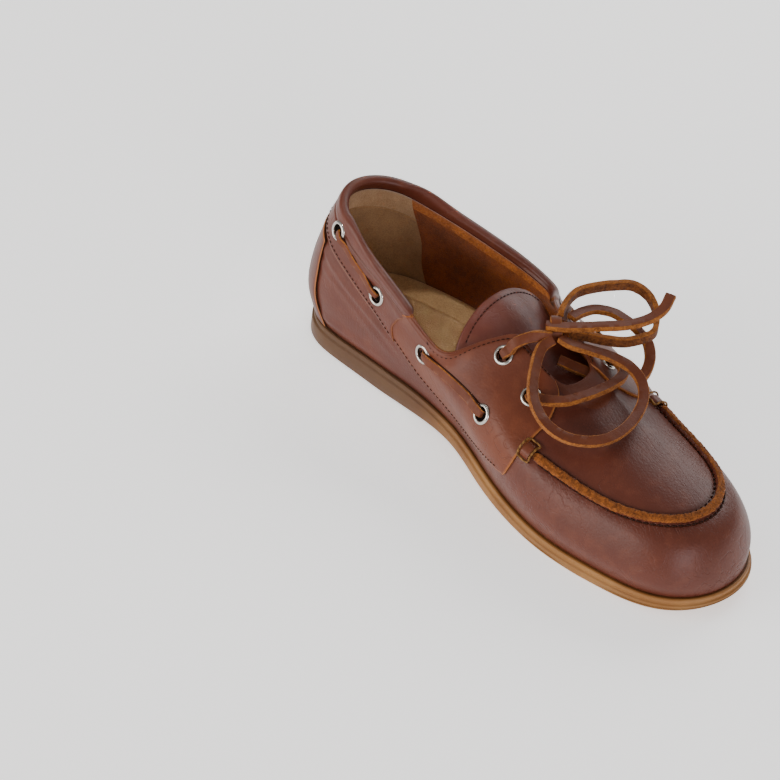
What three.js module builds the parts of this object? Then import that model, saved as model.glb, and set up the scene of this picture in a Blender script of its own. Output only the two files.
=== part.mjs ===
// Boat shoe for the left foot: leather moccasin upper, gum rubber sole, rawhide lace.
// Millimetres. The toe points along +X, the wearer's left is +Y and the floor is z = 0.
import * as THREE from "three";
import { mergeVertices } from "three/addons/utils/BufferGeometryUtils.js";

// Driving dimensions
const LAST_LENGTH = 250; // feather line, from heel to toe
const HEEL_SETBACK = 4; // feather line's heel end, ahead of x = 0
const HALF_WIDTH = 50; // half width that the ring tables count in
const BACK_HEIGHT = 75; // top of the heel above the floor
const SOLE_HEIGHT = 12; // sole under the heel
const SOLE_MARGIN = 2.6; // sole edge outside the feather line
const SOLE_STEP = 0.9; // ledge under the sole's upper band
const SOLE_BAND = 2.6; // height of that upper band
const SOLE_ROUND = 1.4; // rounding of the sole's bottom edge
const WALL = 1.8; // leather and lining of the upper
const GAP = 0.35; // clearance between pieces that touch
const OVERLAY = 0.9; // leather of the saddle, band and heel strip
const SEAT = 0.85; // overlays lie this far off the upper's surface, which is faceted
const ROLL_OUT = 1.5; // padded collar, outside the wall
const ROLL_IN = 2.2; // padded collar, inside the wall
const INSOLE = 3.0;
const TONGUE = 2.2;
const RIDGE_WIDTH = 3.4; // raised moccasin seam
const RIDGE_HEIGHT = 2.4;
const EYELET_OUTER = 9.6;
const EYELET_HOLE = 5.6;
const EYELET_HEIGHT = 0.9;
const LACE_WIDTH = 4.8;
const LACE_THICKNESS = 2.5;
const KNOT_SIZE = 13.6;

// Mesh density
const AROUND = 80; // stations around the shoe, even
const CROWDING = 0.55; // how much closer the stations stand at the waist and throat
const LEVELS = [0, 0.08, 0.2, 0.32, 0.44, 0.55, 0.65, 0.77, 0.89, 0.92, 0.96, 1];

// Rings of the last, from the sole to the topline. Columns: turn from heel (0) to toe (1);
// along, a share of LAST_LENGTH from the feather line's heel end; half, a share of HALF_WIDTH;
// up, a share of BACK_HEIGHT. The feather ring takes its height from the sole.
const FEATHER = named(["turn", "along", "half"], [
  [0.0, 0.0, 1.22],
  [0.12, 0.12, 0.86],
  [0.25, 0.25, 0.7],
  [0.4, 0.4, 0.63],
  [0.55, 0.55, 0.74],
  [0.7, 0.7, 0.89],
  [0.85, 0.85, 0.98],
  [1.0, 1.0, 1.24],
]);
const BULGE = named(["turn", "along", "half", "up"], [
  [0.0, -0.02, 1.21, 0.34],
  [0.12, 0.1, 0.88, 0.33],
  [0.25, 0.244, 0.735, 0.32],
  [0.4, 0.396, 0.67, 0.28],
  [0.55, 0.552, 0.81, 0.265],
  [0.7, 0.708, 0.95, 0.24],
  [0.85, 0.864, 1.015, 0.23],
  [1.0, 0.995, 1.3, 0.245],
]);
const SHOULDER = named(["turn", "along", "half", "up"], [
  [0.0, -0.016, 1.16, 0.56],
  [0.12, 0.1, 0.85, 0.51],
  [0.25, 0.24, 0.75, 0.455],
  [0.4, 0.388, 0.73, 0.42],
  [0.55, 0.536, 0.83, 0.43],
  [0.7, 0.684, 0.88, 0.415],
  [0.85, 0.828, 0.935, 0.41],
  [1.0, 0.967, 1.18, 0.445],
]);
const SEAM = named(["turn", "along", "half", "up"], [
  [0.0, -0.005, 1.085, 0.72],
  [0.12, 0.1, 0.815, 0.64],
  [0.25, 0.232, 0.745, 0.555],
  [0.4, 0.388, 0.757, 0.515],
  [0.55, 0.525, 0.752, 0.565],
  [0.7, 0.624, 0.785, 0.52],
  [0.85, 0.784, 0.86, 0.485],
  [1.0, 0.927, 0.99, 0.52],
]);
const INSTEP = named(["turn", "along", "half", "up"], [
  [0.0, 0.002, 1.0, 0.845],
  [0.12, 0.108, 0.785, 0.755],
  [0.25, 0.243, 0.735, 0.65],
  [0.32, 0.316, 0.757, 0.605],
  [0.38, 0.384, 0.73, 0.595],
  [0.44, 0.43, 0.625, 0.66],
  [0.5, 0.47, 0.495, 0.735],
  [0.6, 0.53, 0.415, 0.74],
  [0.7, 0.588, 0.38, 0.705],
  [0.85, 0.672, 0.36, 0.66],
  [1.0, 0.744, 0.44, 0.625],
]);
const TOPLINE = named(["turn", "along", "half", "up"], [
  [0.0, 0.021, 0.87, 1.02],
  [0.05, 0.06, 0.83, 0.975],
  [0.12, 0.124, 0.78, 0.885],
  [0.22, 0.226, 0.76, 0.79],
  [0.32, 0.328, 0.775, 0.707],
  [0.38, 0.386, 0.745, 0.67],
  [0.44, 0.414, 0.51, 0.756],
  [0.5, 0.464, 0.28, 0.877],
  [0.56, 0.482, 0.25, 0.883],
  [0.66, 0.521, 0.25, 0.84],
  [0.78, 0.56, 0.26, 0.786],
  [0.9, 0.583, 0.28, 0.76],
  [1.0, 0.59, 0.3, 0.753],
]);
const RINGS = [FEATHER, BULGE, SHOULDER, SEAM, INSTEP, TOPLINE];

// Sideways swing of the last's centre line, a share of HALF_WIDTH
const SWING = named(["along", "across"], [
  [-0.016, 0.0],
  [0.104, 0.1],
  [0.284, 0.16],
  [0.424, 0.12],
  [0.584, 0.0],
  [0.744, -0.05],
  [0.884, -0.1],
  [1.016, -0.14],
]);

// Sole profile, shares of SOLE_HEIGHT: flat heel, arch, flat ball and toe spring
const SOLE = named(["along", "bottom", "top"], [
  [-0.016, 0.125, 1.1],
  [0.032, 0.0, 1.0],
  [0.224, 0.0, 1.0],
  [0.284, 0.05, 1.0],
  [0.404, 0.18, 0.88],
  [0.524, 0.04, 0.72],
  [0.584, 0.0, 0.63],
  [0.784, 0.0, 0.58],
  [0.884, 0.13, 0.68],
  [0.964, 0.35, 0.85],
  [1.016, 0.57, 1.02],
]);

// Lower edge of the band and saddle, and the saddle's rear and front edges. Angles are
// shares of the half turn from heel to toe; level runs from the sole (0) to the topline (1).
const LOWER_EDGE = named(["angle", "level"], [
  [0.0, 0.77],
  [0.08, 0.755],
  [0.16, 0.69],
  [0.245, 0.605],
  [0.335, 0.45],
  [0.395, 0.225],
  [0.45, 0.165],
  [0.515, 0.23],
  [0.56, 0.28],
]);
const SADDLE_REAR = named(["share", "angle"], [
  [0.0, 0.338],
  [0.45, 0.338],
  [0.8, 0.346],
  [1.0, 0.372],
]);
const SADDLE_FRONT = named(["level", "angle"], [
  [0.28, 0.563],
  [0.5, 0.596],
  [0.6, 0.622],
  [0.67, 0.635],
  [0.72, 0.645],
  [0.8, 0.655],
  [0.9, 0.682],
  [1.0, 0.7],
]);
const SADDLE_TOP = 0.975; // level where the saddle's top edge stops
const BAND_TOP = 0.875; // level where the band meets the padded collar
const BAND_END = 0.33; // angle where the band stops at the saddle
const ROLL_LEVEL = 0.95; // middle of the padded collar
const ROLL_END = 0.35; // angle where the padded collar runs out
const STRIP_BELOW = 0.05; // heel strip's top, in level, below the band's lower edge
const STRIP_FOOT = 0.03;
const STRIP_ANGLE = { top: 0.142, bottom: 0.176 };
const SEAM_LEVEL = 0.6; // the seam ring's level
const SEAM_END = { medial: 0.64, lateral: 0.69 };
const LATERAL_ADVANCE = 0.05; // how much further forward the lateral saddle reaches

// Eyelets of one side, from the heel to the lower throat. A flat ring on curved leather
// stands off it by its seat.
const EYELETS = named(["angle", "level", "seat"], [
  [0.17, 0.885, 0.7],
  [0.299, 0.75, 1.3],
  [0.398, 0.69, 1.5],
  [0.519, 0.563, 0.7],
  [0.512, 0.85, 0.7],
  [0.596, 0.76, 0.7],
]);

// Tongue: centre height by length, half width and droop of its sides, in shares of
// BACK_HEIGHT and HALF_WIDTH
const TONGUE_LINE = named(["along", "up", "half", "droop"], [
  [0.371, 0.88, 0.61, 0.215],
  [0.4, 0.87, 0.56, 0.22],
  [0.43, 0.845, 0.485, 0.19],
  [0.47, 0.785, 0.445, 0.13],
  [0.524, 0.715, 0.44, 0.1],
  [0.584, 0.685, 0.42, 0.075],
  [0.65, 0.659, 0.4, 0.06],
]);
const TONGUE_SHIFT = -3; // across, from the last's centre line
const TONGUE_CORNER = 5; // rounding of the tongue's rear edge

// Lace over the throat, chosen by hand. Columns: along, across and up, as shares of
// LAST_LENGTH, HALF_WIDTH and BACK_HEIGHT.
const FRONT_BAR = [
  [0.576, -0.5, 0.74], [0.6, -0.47, 0.76], [0.628, -0.37, 0.78], [0.644, -0.15, 0.787],
  [0.648, 0.08, 0.773], [0.642, 0.28, 0.753], [0.622, 0.42, 0.727],
];
const INNER_BAR = [
  [0.6, 0.16, 0.696], [0.576, 0.1, 0.717], [0.552, 0.03, 0.744], [0.53, -0.04, 0.768],
];
const LEAD_MEDIAL = [[0.492, -0.31, 0.887], [0.504, -0.216, 0.927], [0.514, -0.15, 0.94]];
const LEAD_LATERAL = [[0.484, 0.41, 0.9], [0.498, 0.28, 0.933], [0.511, 0.152, 0.94]];

// Free lace of the bow, a cord whose points stay as chosen, in the shoe's own millimetres
const KNOT_PLACE = [134, 0, 70];
const LOOP_LATERAL = [
  [131, 8.5, 74.3], [129, 13.5, 75.3], [127.8, 21, 76.7], [130, 29, 77], [134, 39, 76],
  [138.5, 47, 74.5], [144.5, 50, 72], [151, 48.5, 69.5], [156.5, 44, 67], [160, 38, 65.8],
  [158.5, 32, 65], [154.5, 25.5, 64], [149, 19, 65], [143, 13, 66.5], [138.5, 7.5, 67.5],
];
const LOOP_FRONT = [
  [140, -0.5, 70.3], [145, 0, 70], [152, 6, 68], [159.5, 13, 65], [166, 17, 62],
  [173, 17, 59], [179.5, 12, 57], [184, 4, 55.5], [187, -8, 54.5], [186, -19, 54],
  [181, -27, 54], [174, -32, 54.5], [165, -33.5, 56], [156, -31, 58], [148.5, -26, 61],
  [142, -18, 64], [137.8, -11.5, 66.2], [136.3, -7.4, 67.6],
];
const END_TIP = [
  [132, -2, 75.2], [139, 4, 75.1], [149, 16, 75.2], [155.5, 24, 75.5], [159.5, 33.5, 76],
  [160.5, 41.5, 78], [158, 49, 80.5],
];
const END_TUCKED = [
  [135.5, 10.5, 73.2], [135.5, 16, 73], [137, 24, 72], [142, 30, 70.5], [147.5, 33, 68.5],
  [153.5, 36, 64.3], [158.5, 37.5, 59.8], [164, 33.5, 56.5], [167, 28, 54], [168, 23.5, 53],
];

const UP = new THREE.Vector3(0, 0, 1);

function named(keys, rows) {
  return rows.map((row) => Object.fromEntries(keys.map((key, k) => [key, row[k]])));
}

// Smooth reading of one column of a table at a place in another column
function read(table, by, column, at) {
  const last = table.length - 1;
  const place = Math.min(Math.max(at, table[0][by]), table[last][by]);
  let k = 0;
  while (k < last - 1 && place >= table[k + 1][by]) k += 1;
  const rise = (i) => (table[i + 1][column] - table[i][column]) / (table[i + 1][by] - table[i][by]);
  const slope = (i) => {
    if (i === 0) return rise(0);
    if (i === last) return rise(last - 1);
    const before = table[i][by] - table[i - 1][by];
    const after = table[i + 1][by] - table[i][by];
    return (rise(i - 1) * after + rise(i) * before) / (before + after);
  };
  const span = table[k + 1][by] - table[k][by];
  const s = (place - table[k][by]) / span;
  const [s2, s3] = [s * s, s * s * s];
  return table[k][column] * (2 * s3 - 3 * s2 + 1)
    + slope(k) * span * (s3 - 2 * s2 + s)
    + table[k + 1][column] * (3 * s2 - 2 * s3)
    + slope(k + 1) * span * (s3 - s2);
}

const share = (x) => (x - HEEL_SETBACK) / LAST_LENGTH;
const swing = (x) => HALF_WIDTH * read(SWING, "along", "across", share(x));
const soleBottom = (x) => SOLE_HEIGHT * Math.max(0, read(SOLE, "along", "bottom", share(x)));
const soleTop = (x) => SOLE_HEIGHT * read(SOLE, "along", "top", share(x));

// A point of one ring. The angle runs from the heel over the medial side to the toe (PI)
// and back over the lateral side.
function ringPoint(table, angle) {
  const turn = (1 - Math.cos(angle)) / 2;
  const x = HEEL_SETBACK + LAST_LENGTH * read(table, "turn", "along", turn);
  const y = swing(x) - HALF_WIDTH * read(table, "turn", "half", turn) * Math.sin(angle);
  const z = table === FEATHER ? soleTop(x) + GAP : BACK_HEIGHT * read(table, "turn", "up", turn);
  return new THREE.Vector3(x, y, z);
}

// The last's surface: a smooth curve through the six rings at one angle
function skin(angle, level) {
  const curve = new THREE.CatmullRomCurve3(RINGS.map((ring) => ringPoint(ring, angle)));
  return curve.getPoint(Math.min(Math.max(level, 0), 1));
}

function skinNormal(angle, level) {
  const step = 0.004;
  const along = skin(angle + step, level).sub(skin(angle - step, level));
  const rise = skin(angle, Math.min(level + step, 1)).sub(skin(angle, Math.max(level - step, 0)));
  return along.cross(rise).normalize();
}

const lifted = (angle, level, height) =>
  skin(angle, level).addScaledVector(skinNormal(angle, level), height);

// The feather line moved outward by a margin, at a given height
function outline(angle, margin, height) {
  const step = 0.002;
  const point = ringPoint(FEATHER, angle);
  const along = ringPoint(FEATHER, angle + step).sub(ringPoint(FEATHER, angle - step));
  const out = new THREE.Vector3(along.y, -along.x, 0).normalize();
  point.addScaledVector(out, margin);
  return new THREE.Vector3(point.x, point.y, height(point.x));
}

// A closed solid from points and triangles, with its faces turned outward
function solid(points, faces) {
  const volume = faces.reduce((sum, [a, b, c]) =>
    sum + points[a].dot(new THREE.Vector3().crossVectors(points[b], points[c])), 0);
  const turned = volume < 0 ? faces.map(([a, b, c]) => [a, c, b]) : faces;
  const geometry = new THREE.BufferGeometry().setFromPoints(points);
  geometry.setIndex(turned.flat());
  geometry.computeVertexNormals();
  return geometry;
}

// A closed sheet between two grids of points. With wrap, its columns close on themselves.
function sheet(front, back, columns, rows, wrap = false) {
  const width = wrap ? columns : columns + 1;
  const layer = width * (rows + 1);
  const points = [];
  for (const face of [front, back]) {
    for (let j = 0; j <= rows; j += 1) {
      for (let i = 0; i < width; i += 1) points.push(face(i, j));
    }
  }
  const at = (side, i, j) => side * layer + j * width + (i % width);
  const faces = [];
  const quad = (a, b, c, d) => faces.push([a, b, c], [a, c, d]);
  for (let i = 0; i < columns; i += 1) {
    for (let j = 0; j < rows; j += 1) {
      quad(at(0, i, j), at(0, i + 1, j), at(0, i + 1, j + 1), at(0, i, j + 1));
      quad(at(1, i, j), at(1, i, j + 1), at(1, i + 1, j + 1), at(1, i + 1, j));
    }
    quad(at(0, i + 1, 0), at(0, i, 0), at(1, i, 0), at(1, i + 1, 0));
    quad(at(0, i, rows), at(0, i + 1, rows), at(1, i + 1, rows), at(1, i, rows));
  }
  for (let j = 0; j < rows && !wrap; j += 1) {
    quad(at(0, 0, j), at(0, 0, j + 1), at(1, 0, j + 1), at(1, 0, j));
    quad(at(0, columns, j + 1), at(0, columns, j), at(1, columns, j), at(1, columns, j + 1));
  }
  return solid(points, faces);
}

// A closed solid through rings of the same number of points, each end capped. Across caps
// bridge the ring's two halves, for the sole and insole; the others fan from one point.
function loft(rings, across = false) {
  const count = rings[0].length;
  const points = rings.flat();
  const faces = [];
  for (let r = 0; r + 1 < rings.length; r += 1) {
    for (let i = 0; i < count; i += 1) {
      const [a, b] = [r * count + i, r * count + (i + 1) % count];
      faces.push([a, b, b + count], [a, b + count, a + count]);
    }
  }
  const cap = (start, flip) => {
    const add = (a, b, c) => faces.push(flip ? [start + a, start + c, start + b]
      : [start + a, start + b, start + c]);
    for (let i = 1; across && i < count / 2; i += 1) {
      const [near, far] = [i, count - i];
      const nextNear = i + 1;
      const nextFar = count - i - 1;
      if (i === 1) add(0, far, near);
      if (nextNear === nextFar) add(near, far, nextNear);
      else {
        add(near, far, nextFar);
        add(near, nextFar, nextNear);
      }
    }
    for (let i = 1; !across && i + 1 < count; i += 1) add(0, i + 1, i);
  };
  cap(0, false);
  cap((rings.length - 1) * count, true);
  return solid(points, faces);
}

// Angle of a station around the shoe, with the stations crowded where the throat turns
function stationAngle(i, count) {
  const plain = (2 * Math.PI * i) / count;
  return plain + (CROWDING / 2) * Math.sin(2 * plain);
}

const aroundAngles = (count) => Array.from({ length: count }, (_, i) => stationAngle(i, count));

function outsoleGeometry() {
  const edge = (margin, height) =>
    aroundAngles(AROUND).map((angle) => outline(angle, margin, height));
  const ledge = (x) => soleTop(x) - SOLE_BAND;
  return loft([
    edge(SOLE_MARGIN - 3 * SOLE_ROUND, soleBottom),
    edge(SOLE_MARGIN - SOLE_ROUND, soleBottom),
    edge(SOLE_MARGIN, (x) => soleBottom(x) + SOLE_ROUND),
    edge(SOLE_MARGIN, (x) => ledge(x) - SOLE_STEP / 2),
    edge(SOLE_MARGIN - SOLE_STEP, ledge),
    edge(SOLE_MARGIN - SOLE_STEP, soleTop),
  ], true);
}

function insoleGeometry() {
  const inset = -(WALL + 3 * GAP);
  const edge = (margin, rise) => aroundAngles(AROUND / 2).map((angle) =>
    outline(angle, margin, (x) => soleTop(x) + GAP + rise));
  return loft([
    edge(inset, 0),
    edge(inset, 0.8 * INSOLE),
    edge(inset - INSOLE / 2, INSOLE),
    edge(inset - 3 * INSOLE, 0.7 * INSOLE),
  ], true);
}

// How much of the padded collar's roll there is at a place on the upper
function rollShare(angle, level) {
  const fromHeel = Math.min(angle, 2 * Math.PI - angle) / Math.PI;
  const along = THREE.MathUtils.smoothstep(ROLL_END - fromHeel, 0, 0.03);
  const half = 1.2 * (1 - ROLL_LEVEL);
  const down = Math.max(0, 1 - ((level - ROLL_LEVEL) / half) ** 2);
  return along * Math.sqrt(down);
}

function upperGeometry() {
  const angleOf = (i) => stationAngle(i, AROUND);
  const outer = (i, j) =>
    lifted(angleOf(i), LEVELS[j], ROLL_OUT * rollShare(angleOf(i), LEVELS[j]));
  const inner = (i, j) => {
    if (j === 0) return outline(angleOf(i), -WALL, (x) => soleTop(x) + GAP);
    return lifted(angleOf(i), LEVELS[j], -WALL - ROLL_IN * rollShare(angleOf(i), LEVELS[j]));
  };
  return sheet(outer, inner, AROUND, LEVELS.length - 1, true);
}

// A patch of leather over the upper. place(u, w) gives its angle and level.
function overlay(place, columns, rows) {
  const at = (height) => (i, j) => {
    const { angle, level } = place(i / columns, j / rows);
    return lifted(angle, level, height);
  };
  return sheet(at(SEAT + OVERLAY), at(SEAT), columns, rows);
}

const sided = (angle, side) => (side === "medial" ? angle : 2 * Math.PI - angle);

// The lateral saddle follows the medial one, reaching further toward the toe
const advance = (angle, side) => (side === "medial" ? angle
  : angle + LATERAL_ADVANCE * THREE.MathUtils.smoothstep(angle, 0.55, 0.66));

// Columns of the saddle: the upper's own stations in the middle, where the throat turns
// tightly, and evenly spread ones out to the slanted rear and front edges
function saddleGeometry(side) {
  const [rearSteps, frontSteps, rows] = [4, 7, 8];
  const low = SADDLE_FRONT[0].level;
  const [first, last] = [SADDLE_REAR.at(-1).angle + 0.005, SADDLE_FRONT[0].angle - 0.01];
  const fixed = aroundAngles(AROUND).map((angle) => angle / Math.PI)
    .filter((angle) => angle > first && angle < last);
  const columns = rearSteps + fixed.length - 1 + frontSteps;
  const angleAt = (i, w) => {
    const k = i - rearSteps;
    const rear = read(SADDLE_REAR, "share", "angle", w);
    if (k < 0) return THREE.MathUtils.lerp(rear, fixed[0], i / rearSteps);
    if (k < fixed.length) return fixed[k];
    const front = read(SADDLE_FRONT, "level", "angle", low + w * (SADDLE_TOP - low));
    return THREE.MathUtils.lerp(fixed.at(-1), front, (k - fixed.length + 1) / frontSteps);
  };
  const place = (u, w) => {
    const angle = angleAt(Math.round(u * columns), w);
    const floor = read(LOWER_EDGE, "angle", "level", angle);
    const level = floor + w * (SADDLE_TOP - floor);
    return { angle: sided(Math.PI * advance(angle, side), side), level };
  };
  return overlay(place, columns, rows);
}

function bandGeometry() {
  const place = (u, w) => {
    const angle = (2 * u - 1) * BAND_END;
    const floor = read(LOWER_EDGE, "angle", "level", Math.abs(angle));
    return { angle: Math.PI * angle, level: floor + w * (BAND_TOP - floor) };
  };
  return overlay(place, 36, 3);
}

function heelStripGeometry() {
  const place = (u, w) => {
    const reach = THREE.MathUtils.lerp(STRIP_ANGLE.bottom, STRIP_ANGLE.top, w);
    const angle = (2 * u - 1) * reach;
    const top = read(LOWER_EDGE, "angle", "level", Math.abs(angle)) - STRIP_BELOW;
    return { angle: Math.PI * angle, level: THREE.MathUtils.lerp(STRIP_FOOT, top, w) };
  };
  return overlay(place, 12, 7);
}

// The raised moccasin seam, standing on the upper around the toe
function ridgeGeometry() {
  const steps = 36;
  const [start, stop] = [Math.PI * SEAM_END.medial, Math.PI * (2 - SEAM_END.lateral)];
  const half = RIDGE_WIDTH / 2;
  const section = [[-half, GAP], [-half, 0.6 * RIDGE_HEIGHT], [-0.5 * half, RIDGE_HEIGHT],
    [0.5 * half, RIDGE_HEIGHT], [half, 0.6 * RIDGE_HEIGHT], [half, GAP]];
  const rings = Array.from({ length: steps + 1 }, (_, k) => {
    const angle = start + (stop - start) * (k / steps);
    const centre = skin(angle, SEAM_LEVEL);
    const up = skinNormal(angle, SEAM_LEVEL);
    const along = skin(angle + 0.01, SEAM_LEVEL).sub(skin(angle - 0.01, SEAM_LEVEL)).normalize();
    const side = new THREE.Vector3().crossVectors(up, along).normalize();
    return section.map(([across, height]) =>
      centre.clone().addScaledVector(side, across).addScaledVector(up, height));
  });
  return loft(rings);
}

function tonguePoint(u, w, lower) {
  const rearX = HEEL_SETBACK + LAST_LENGTH * TONGUE_LINE[0].along + TONGUE_CORNER * Math.abs(w) ** 3;
  const frontX = HEEL_SETBACK + LAST_LENGTH * TONGUE_LINE.at(-1).along;
  const x = THREE.MathUtils.lerp(rearX, frontX, u);
  const of = (column) => read(TONGUE_LINE, "along", column, share(x));
  const half = HALF_WIDTH * of("half");
  const droop = BACK_HEIGHT * of("droop");
  const slant = 2 * droop * w / half;
  const normal = new THREE.Vector3(0, slant, 1).normalize();
  return new THREE.Vector3(x, swing(x) + TONGUE_SHIFT * (1 - u) + half * w,
    BACK_HEIGHT * of("up") - droop * w * w).addScaledVector(normal, -lower);
}

function tongueGeometry() {
  const [columns, rows] = [10, 10];
  const face = (depth) => (i, j) => tonguePoint(i / columns, (2 * j) / rows - 1, depth);
  return sheet(face(0), face(TONGUE), columns, rows);
}

function eyeletPlace(index, side) {
  const { angle, level, seat } = EYELETS[index];
  const turn = sided(Math.PI * advance(angle, side), side);
  return { centre: lifted(turn, level, SEAT + OVERLAY + seat), axis: skinNormal(turn, level) };
}

function eyeletGeometry() {
  const [inner, outer] = [EYELET_HOLE / 2, EYELET_OUTER / 2];
  const profile = [[inner, 0], [outer, 0], [outer - 0.4, 0.7 * EYELET_HEIGHT],
    [(inner + outer) / 2, EYELET_HEIGHT], [inner, 0.6 * EYELET_HEIGHT], [inner, 0]];
  const ring = new THREE.LatheGeometry(profile.map(([r, h]) => new THREE.Vector2(r, h)), 10);
  ring.rotateX(Math.PI / 2);
  return welded(ring);
}

function welded(geometry) {
  geometry.deleteAttribute("uv");
  geometry.deleteAttribute("normal");
  const closed = mergeVertices(geometry, 1e-4);
  const [points, place] = [[], closed.getAttribute("position")];
  for (let i = 0; i < place.count; i += 1) {
    points.push(new THREE.Vector3().fromBufferAttribute(place, i));
  }
  const index = Array.from(closed.getIndex().array);
  const faces = [];
  for (let i = 0; i < index.length; i += 3) faces.push(index.slice(i, i + 3));
  return solid(points, faces.filter(([a, b, c]) => a !== b && b !== c && a !== c));
}

// A lace strap along a curve. lift(u) is the direction that its flat face looks.
function strap(points, lift, steps) {
  const curve = new THREE.CatmullRomCurve3(points);
  const [w, t] = [LACE_WIDTH / 2, LACE_THICKNESS / 2];
  const section = [[-w, -t], [-w, t], [w, t], [w, -t]];
  const rings = Array.from({ length: steps + 1 }, (_, k) => {
    const u = k / steps;
    const along = curve.getTangentAt(u);
    const side = new THREE.Vector3().crossVectors(lift(u, along), along).normalize();
    const face = new THREE.Vector3().crossVectors(along, side).normalize();
    return section.map(([across, height]) =>
      curve.getPointAt(u).addScaledVector(side, across).addScaledVector(face, height));
  });
  return loft(rings);
}

const route = (rows) => rows.map((row) => new THREE.Vector3(...row));

// A route given in shares of the shoe's sizes
const overThroat = (rows) => rows.map(([along, across, up]) => new THREE.Vector3(
  HEEL_SETBACK + LAST_LENGTH * along, HALF_WIDTH * across, BACK_HEIGHT * up));

// The lace's centre over an eyelet's hole, or over its rim on the way to another point
function overHole({ centre, axis }) {
  return centre.clone().addScaledVector(axis, EYELET_HEIGHT + (GAP + LACE_THICKNESS) / 2);
}

function overRim({ centre, axis }, toward) {
  const out = toward.clone().sub(centre).projectOnPlane(axis).normalize();
  return centre.clone().addScaledVector(out, 0.55 * EYELET_OUTER)
    .addScaledVector(axis, EYELET_HEIGHT + 1.5 * GAP + LACE_THICKNESS / 2);
}

// Side run of the lace: out of one eyelet, over the leather and into the next
function sideRunGeometry(first, side) {
  const [from, to] = [eyeletPlace(first, side), eyeletPlace(first + 1, side)];
  const [a, b] = [EYELETS[first], EYELETS[first + 1]];
  const angle = sided(Math.PI * advance((a.angle + b.angle) / 2, side), side);
  const height = SEAT + OVERLAY + a.seat + LACE_THICKNESS / 2;
  const middle = lifted(angle, (a.level + b.level) / 2, height);
  const points = [overHole(from), overRim(from, middle), middle, overRim(to, middle), overHole(to)];
  return strap(points, (u) => from.axis.clone().lerp(to.axis, u), 10);
}

const lyingFlat = () => UP.clone();
const onEdge = (u, along) => new THREE.Vector3().crossVectors(along, UP);
const settling = (axis) => (u) => axis.clone().lerp(UP, Math.min(1, 1.5 * u));

function knotGeometry() {
  const lump = new THREE.SphereGeometry(KNOT_SIZE / 2, 10, 7);
  lump.scale(0.62, 1, 0.52);
  return welded(lump);
}

const FINISH = {
  leather: { color: 0x7a4030, roughness: 0.42, metalness: 0 },
  raw: { color: 0x9a5a2a, roughness: 0.8, metalness: 0 },
  suede: { color: 0xa9906c, roughness: 0.95, metalness: 0 },
  rubber: { color: 0xc99a62, roughness: 0.6, metalness: 0 },
  nickel: { color: 0xc8c6c0, roughness: 0.25, metalness: 1 },
  lace: { color: 0x6e3c28, roughness: 0.6, metalness: 0 },
};

function mesh(name, geometry, finish) {
  const part = new THREE.Mesh(geometry, new THREE.MeshStandardMaterial(FINISH[finish]));
  part.name = name;
  return part;
}

function eyeletMesh(index, side) {
  const { centre, axis } = eyeletPlace(index, side);
  const ring = mesh(`eyelet_${side}_${index + 1}`, eyeletGeometry(), "nickel");
  ring.position.copy(centre);
  ring.quaternion.setFromUnitVectors(UP, axis);
  return ring;
}

function bodyParts() {
  return [
    mesh("outsole", outsoleGeometry(), "rubber"),
    mesh("insole", insoleGeometry(), "suede"),
    mesh("upper", upperGeometry(), "leather"),
    mesh("seam_ridge", ridgeGeometry(), "raw"),
    mesh("tongue", tongueGeometry(), "leather"),
    mesh("saddle_medial", saddleGeometry("medial"), "leather"),
    mesh("saddle_lateral", saddleGeometry("lateral"), "leather"),
    mesh("collar_band", bandGeometry(), "leather"),
    mesh("heel_strip", heelStripGeometry(), "leather"),
  ];
}

function laceParts() {
  const parts = [];
  for (const side of ["medial", "lateral"]) {
    for (let index = 0; index < EYELETS.length; index += 1) parts.push(eyeletMesh(index, side));
    parts.push(mesh(`lace_run_${side}_rear`, sideRunGeometry(0, side), "lace"));
    parts.push(mesh(`lace_run_${side}_front`, sideRunGeometry(2, side), "lace"));
    const lead = overThroat(side === "medial" ? LEAD_MEDIAL : LEAD_LATERAL);
    const from = eyeletPlace(4, side);
    const path = [overHole(from), overRim(from, lead[0]), ...lead];
    parts.push(mesh(`lace_lead_${side}`, strap(path, settling(from.axis), 8), "lace"));
  }
  const [near, far] = [eyeletPlace(5, "medial"), eyeletPlace(5, "lateral")];
  const bar = [overHole(near), ...overThroat(FRONT_BAR), overHole(far)];
  const barLift = (u) => near.axis.clone().lerp(UP, Math.min(1, 4 * u))
    .lerp(far.axis, Math.max(0, 4 * u - 3));
  parts.push(mesh("lace_bar_front", strap(bar, barLift, 20), "lace"));
  parts.push(mesh("lace_bar_inner", strap(overThroat(INNER_BAR), lyingFlat, 6), "lace"));
  return parts;
}

function freeLaceParts() {
  const knot = mesh("lace_knot", knotGeometry(), "lace");
  knot.position.set(...KNOT_PLACE);
  return [
    knot,
    mesh("lace_loop_lateral", strap(route(LOOP_LATERAL), onEdge, 26), "lace"),
    mesh("lace_loop_front", strap(route(LOOP_FRONT), lyingFlat, 30), "lace"),
    mesh("lace_end_tip", strap(route(END_TIP), lyingFlat, 14), "lace"),
    mesh("lace_end_tucked", strap(route(END_TUCKED), lyingFlat, 14), "lace"),
  ];
}

function boatShoe() {
  const shoe = new THREE.Group();
  shoe.name = "boat_shoe";
  shoe.add(...bodyParts(), ...laceParts());
  shoe.updateMatrixWorld(true);
  const box = new THREE.Box3().setFromObject(shoe, true);
  shoe.add(...freeLaceParts());
  const centre = box.getCenter(new THREE.Vector3());
  shoe.position.set(-centre.x, -centre.y, -box.min.z);
  return shoe;
}

export default boatShoe();
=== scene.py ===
"""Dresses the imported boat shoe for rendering: leather, suede, rubber, nickel, thread and lace.

Lengths are in millimetres in the shoe's own frame until a mesh is made, with the toe along +X,
the wearer's left along +Y and the floor at z = 0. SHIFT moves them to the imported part's frame.
"""

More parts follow.
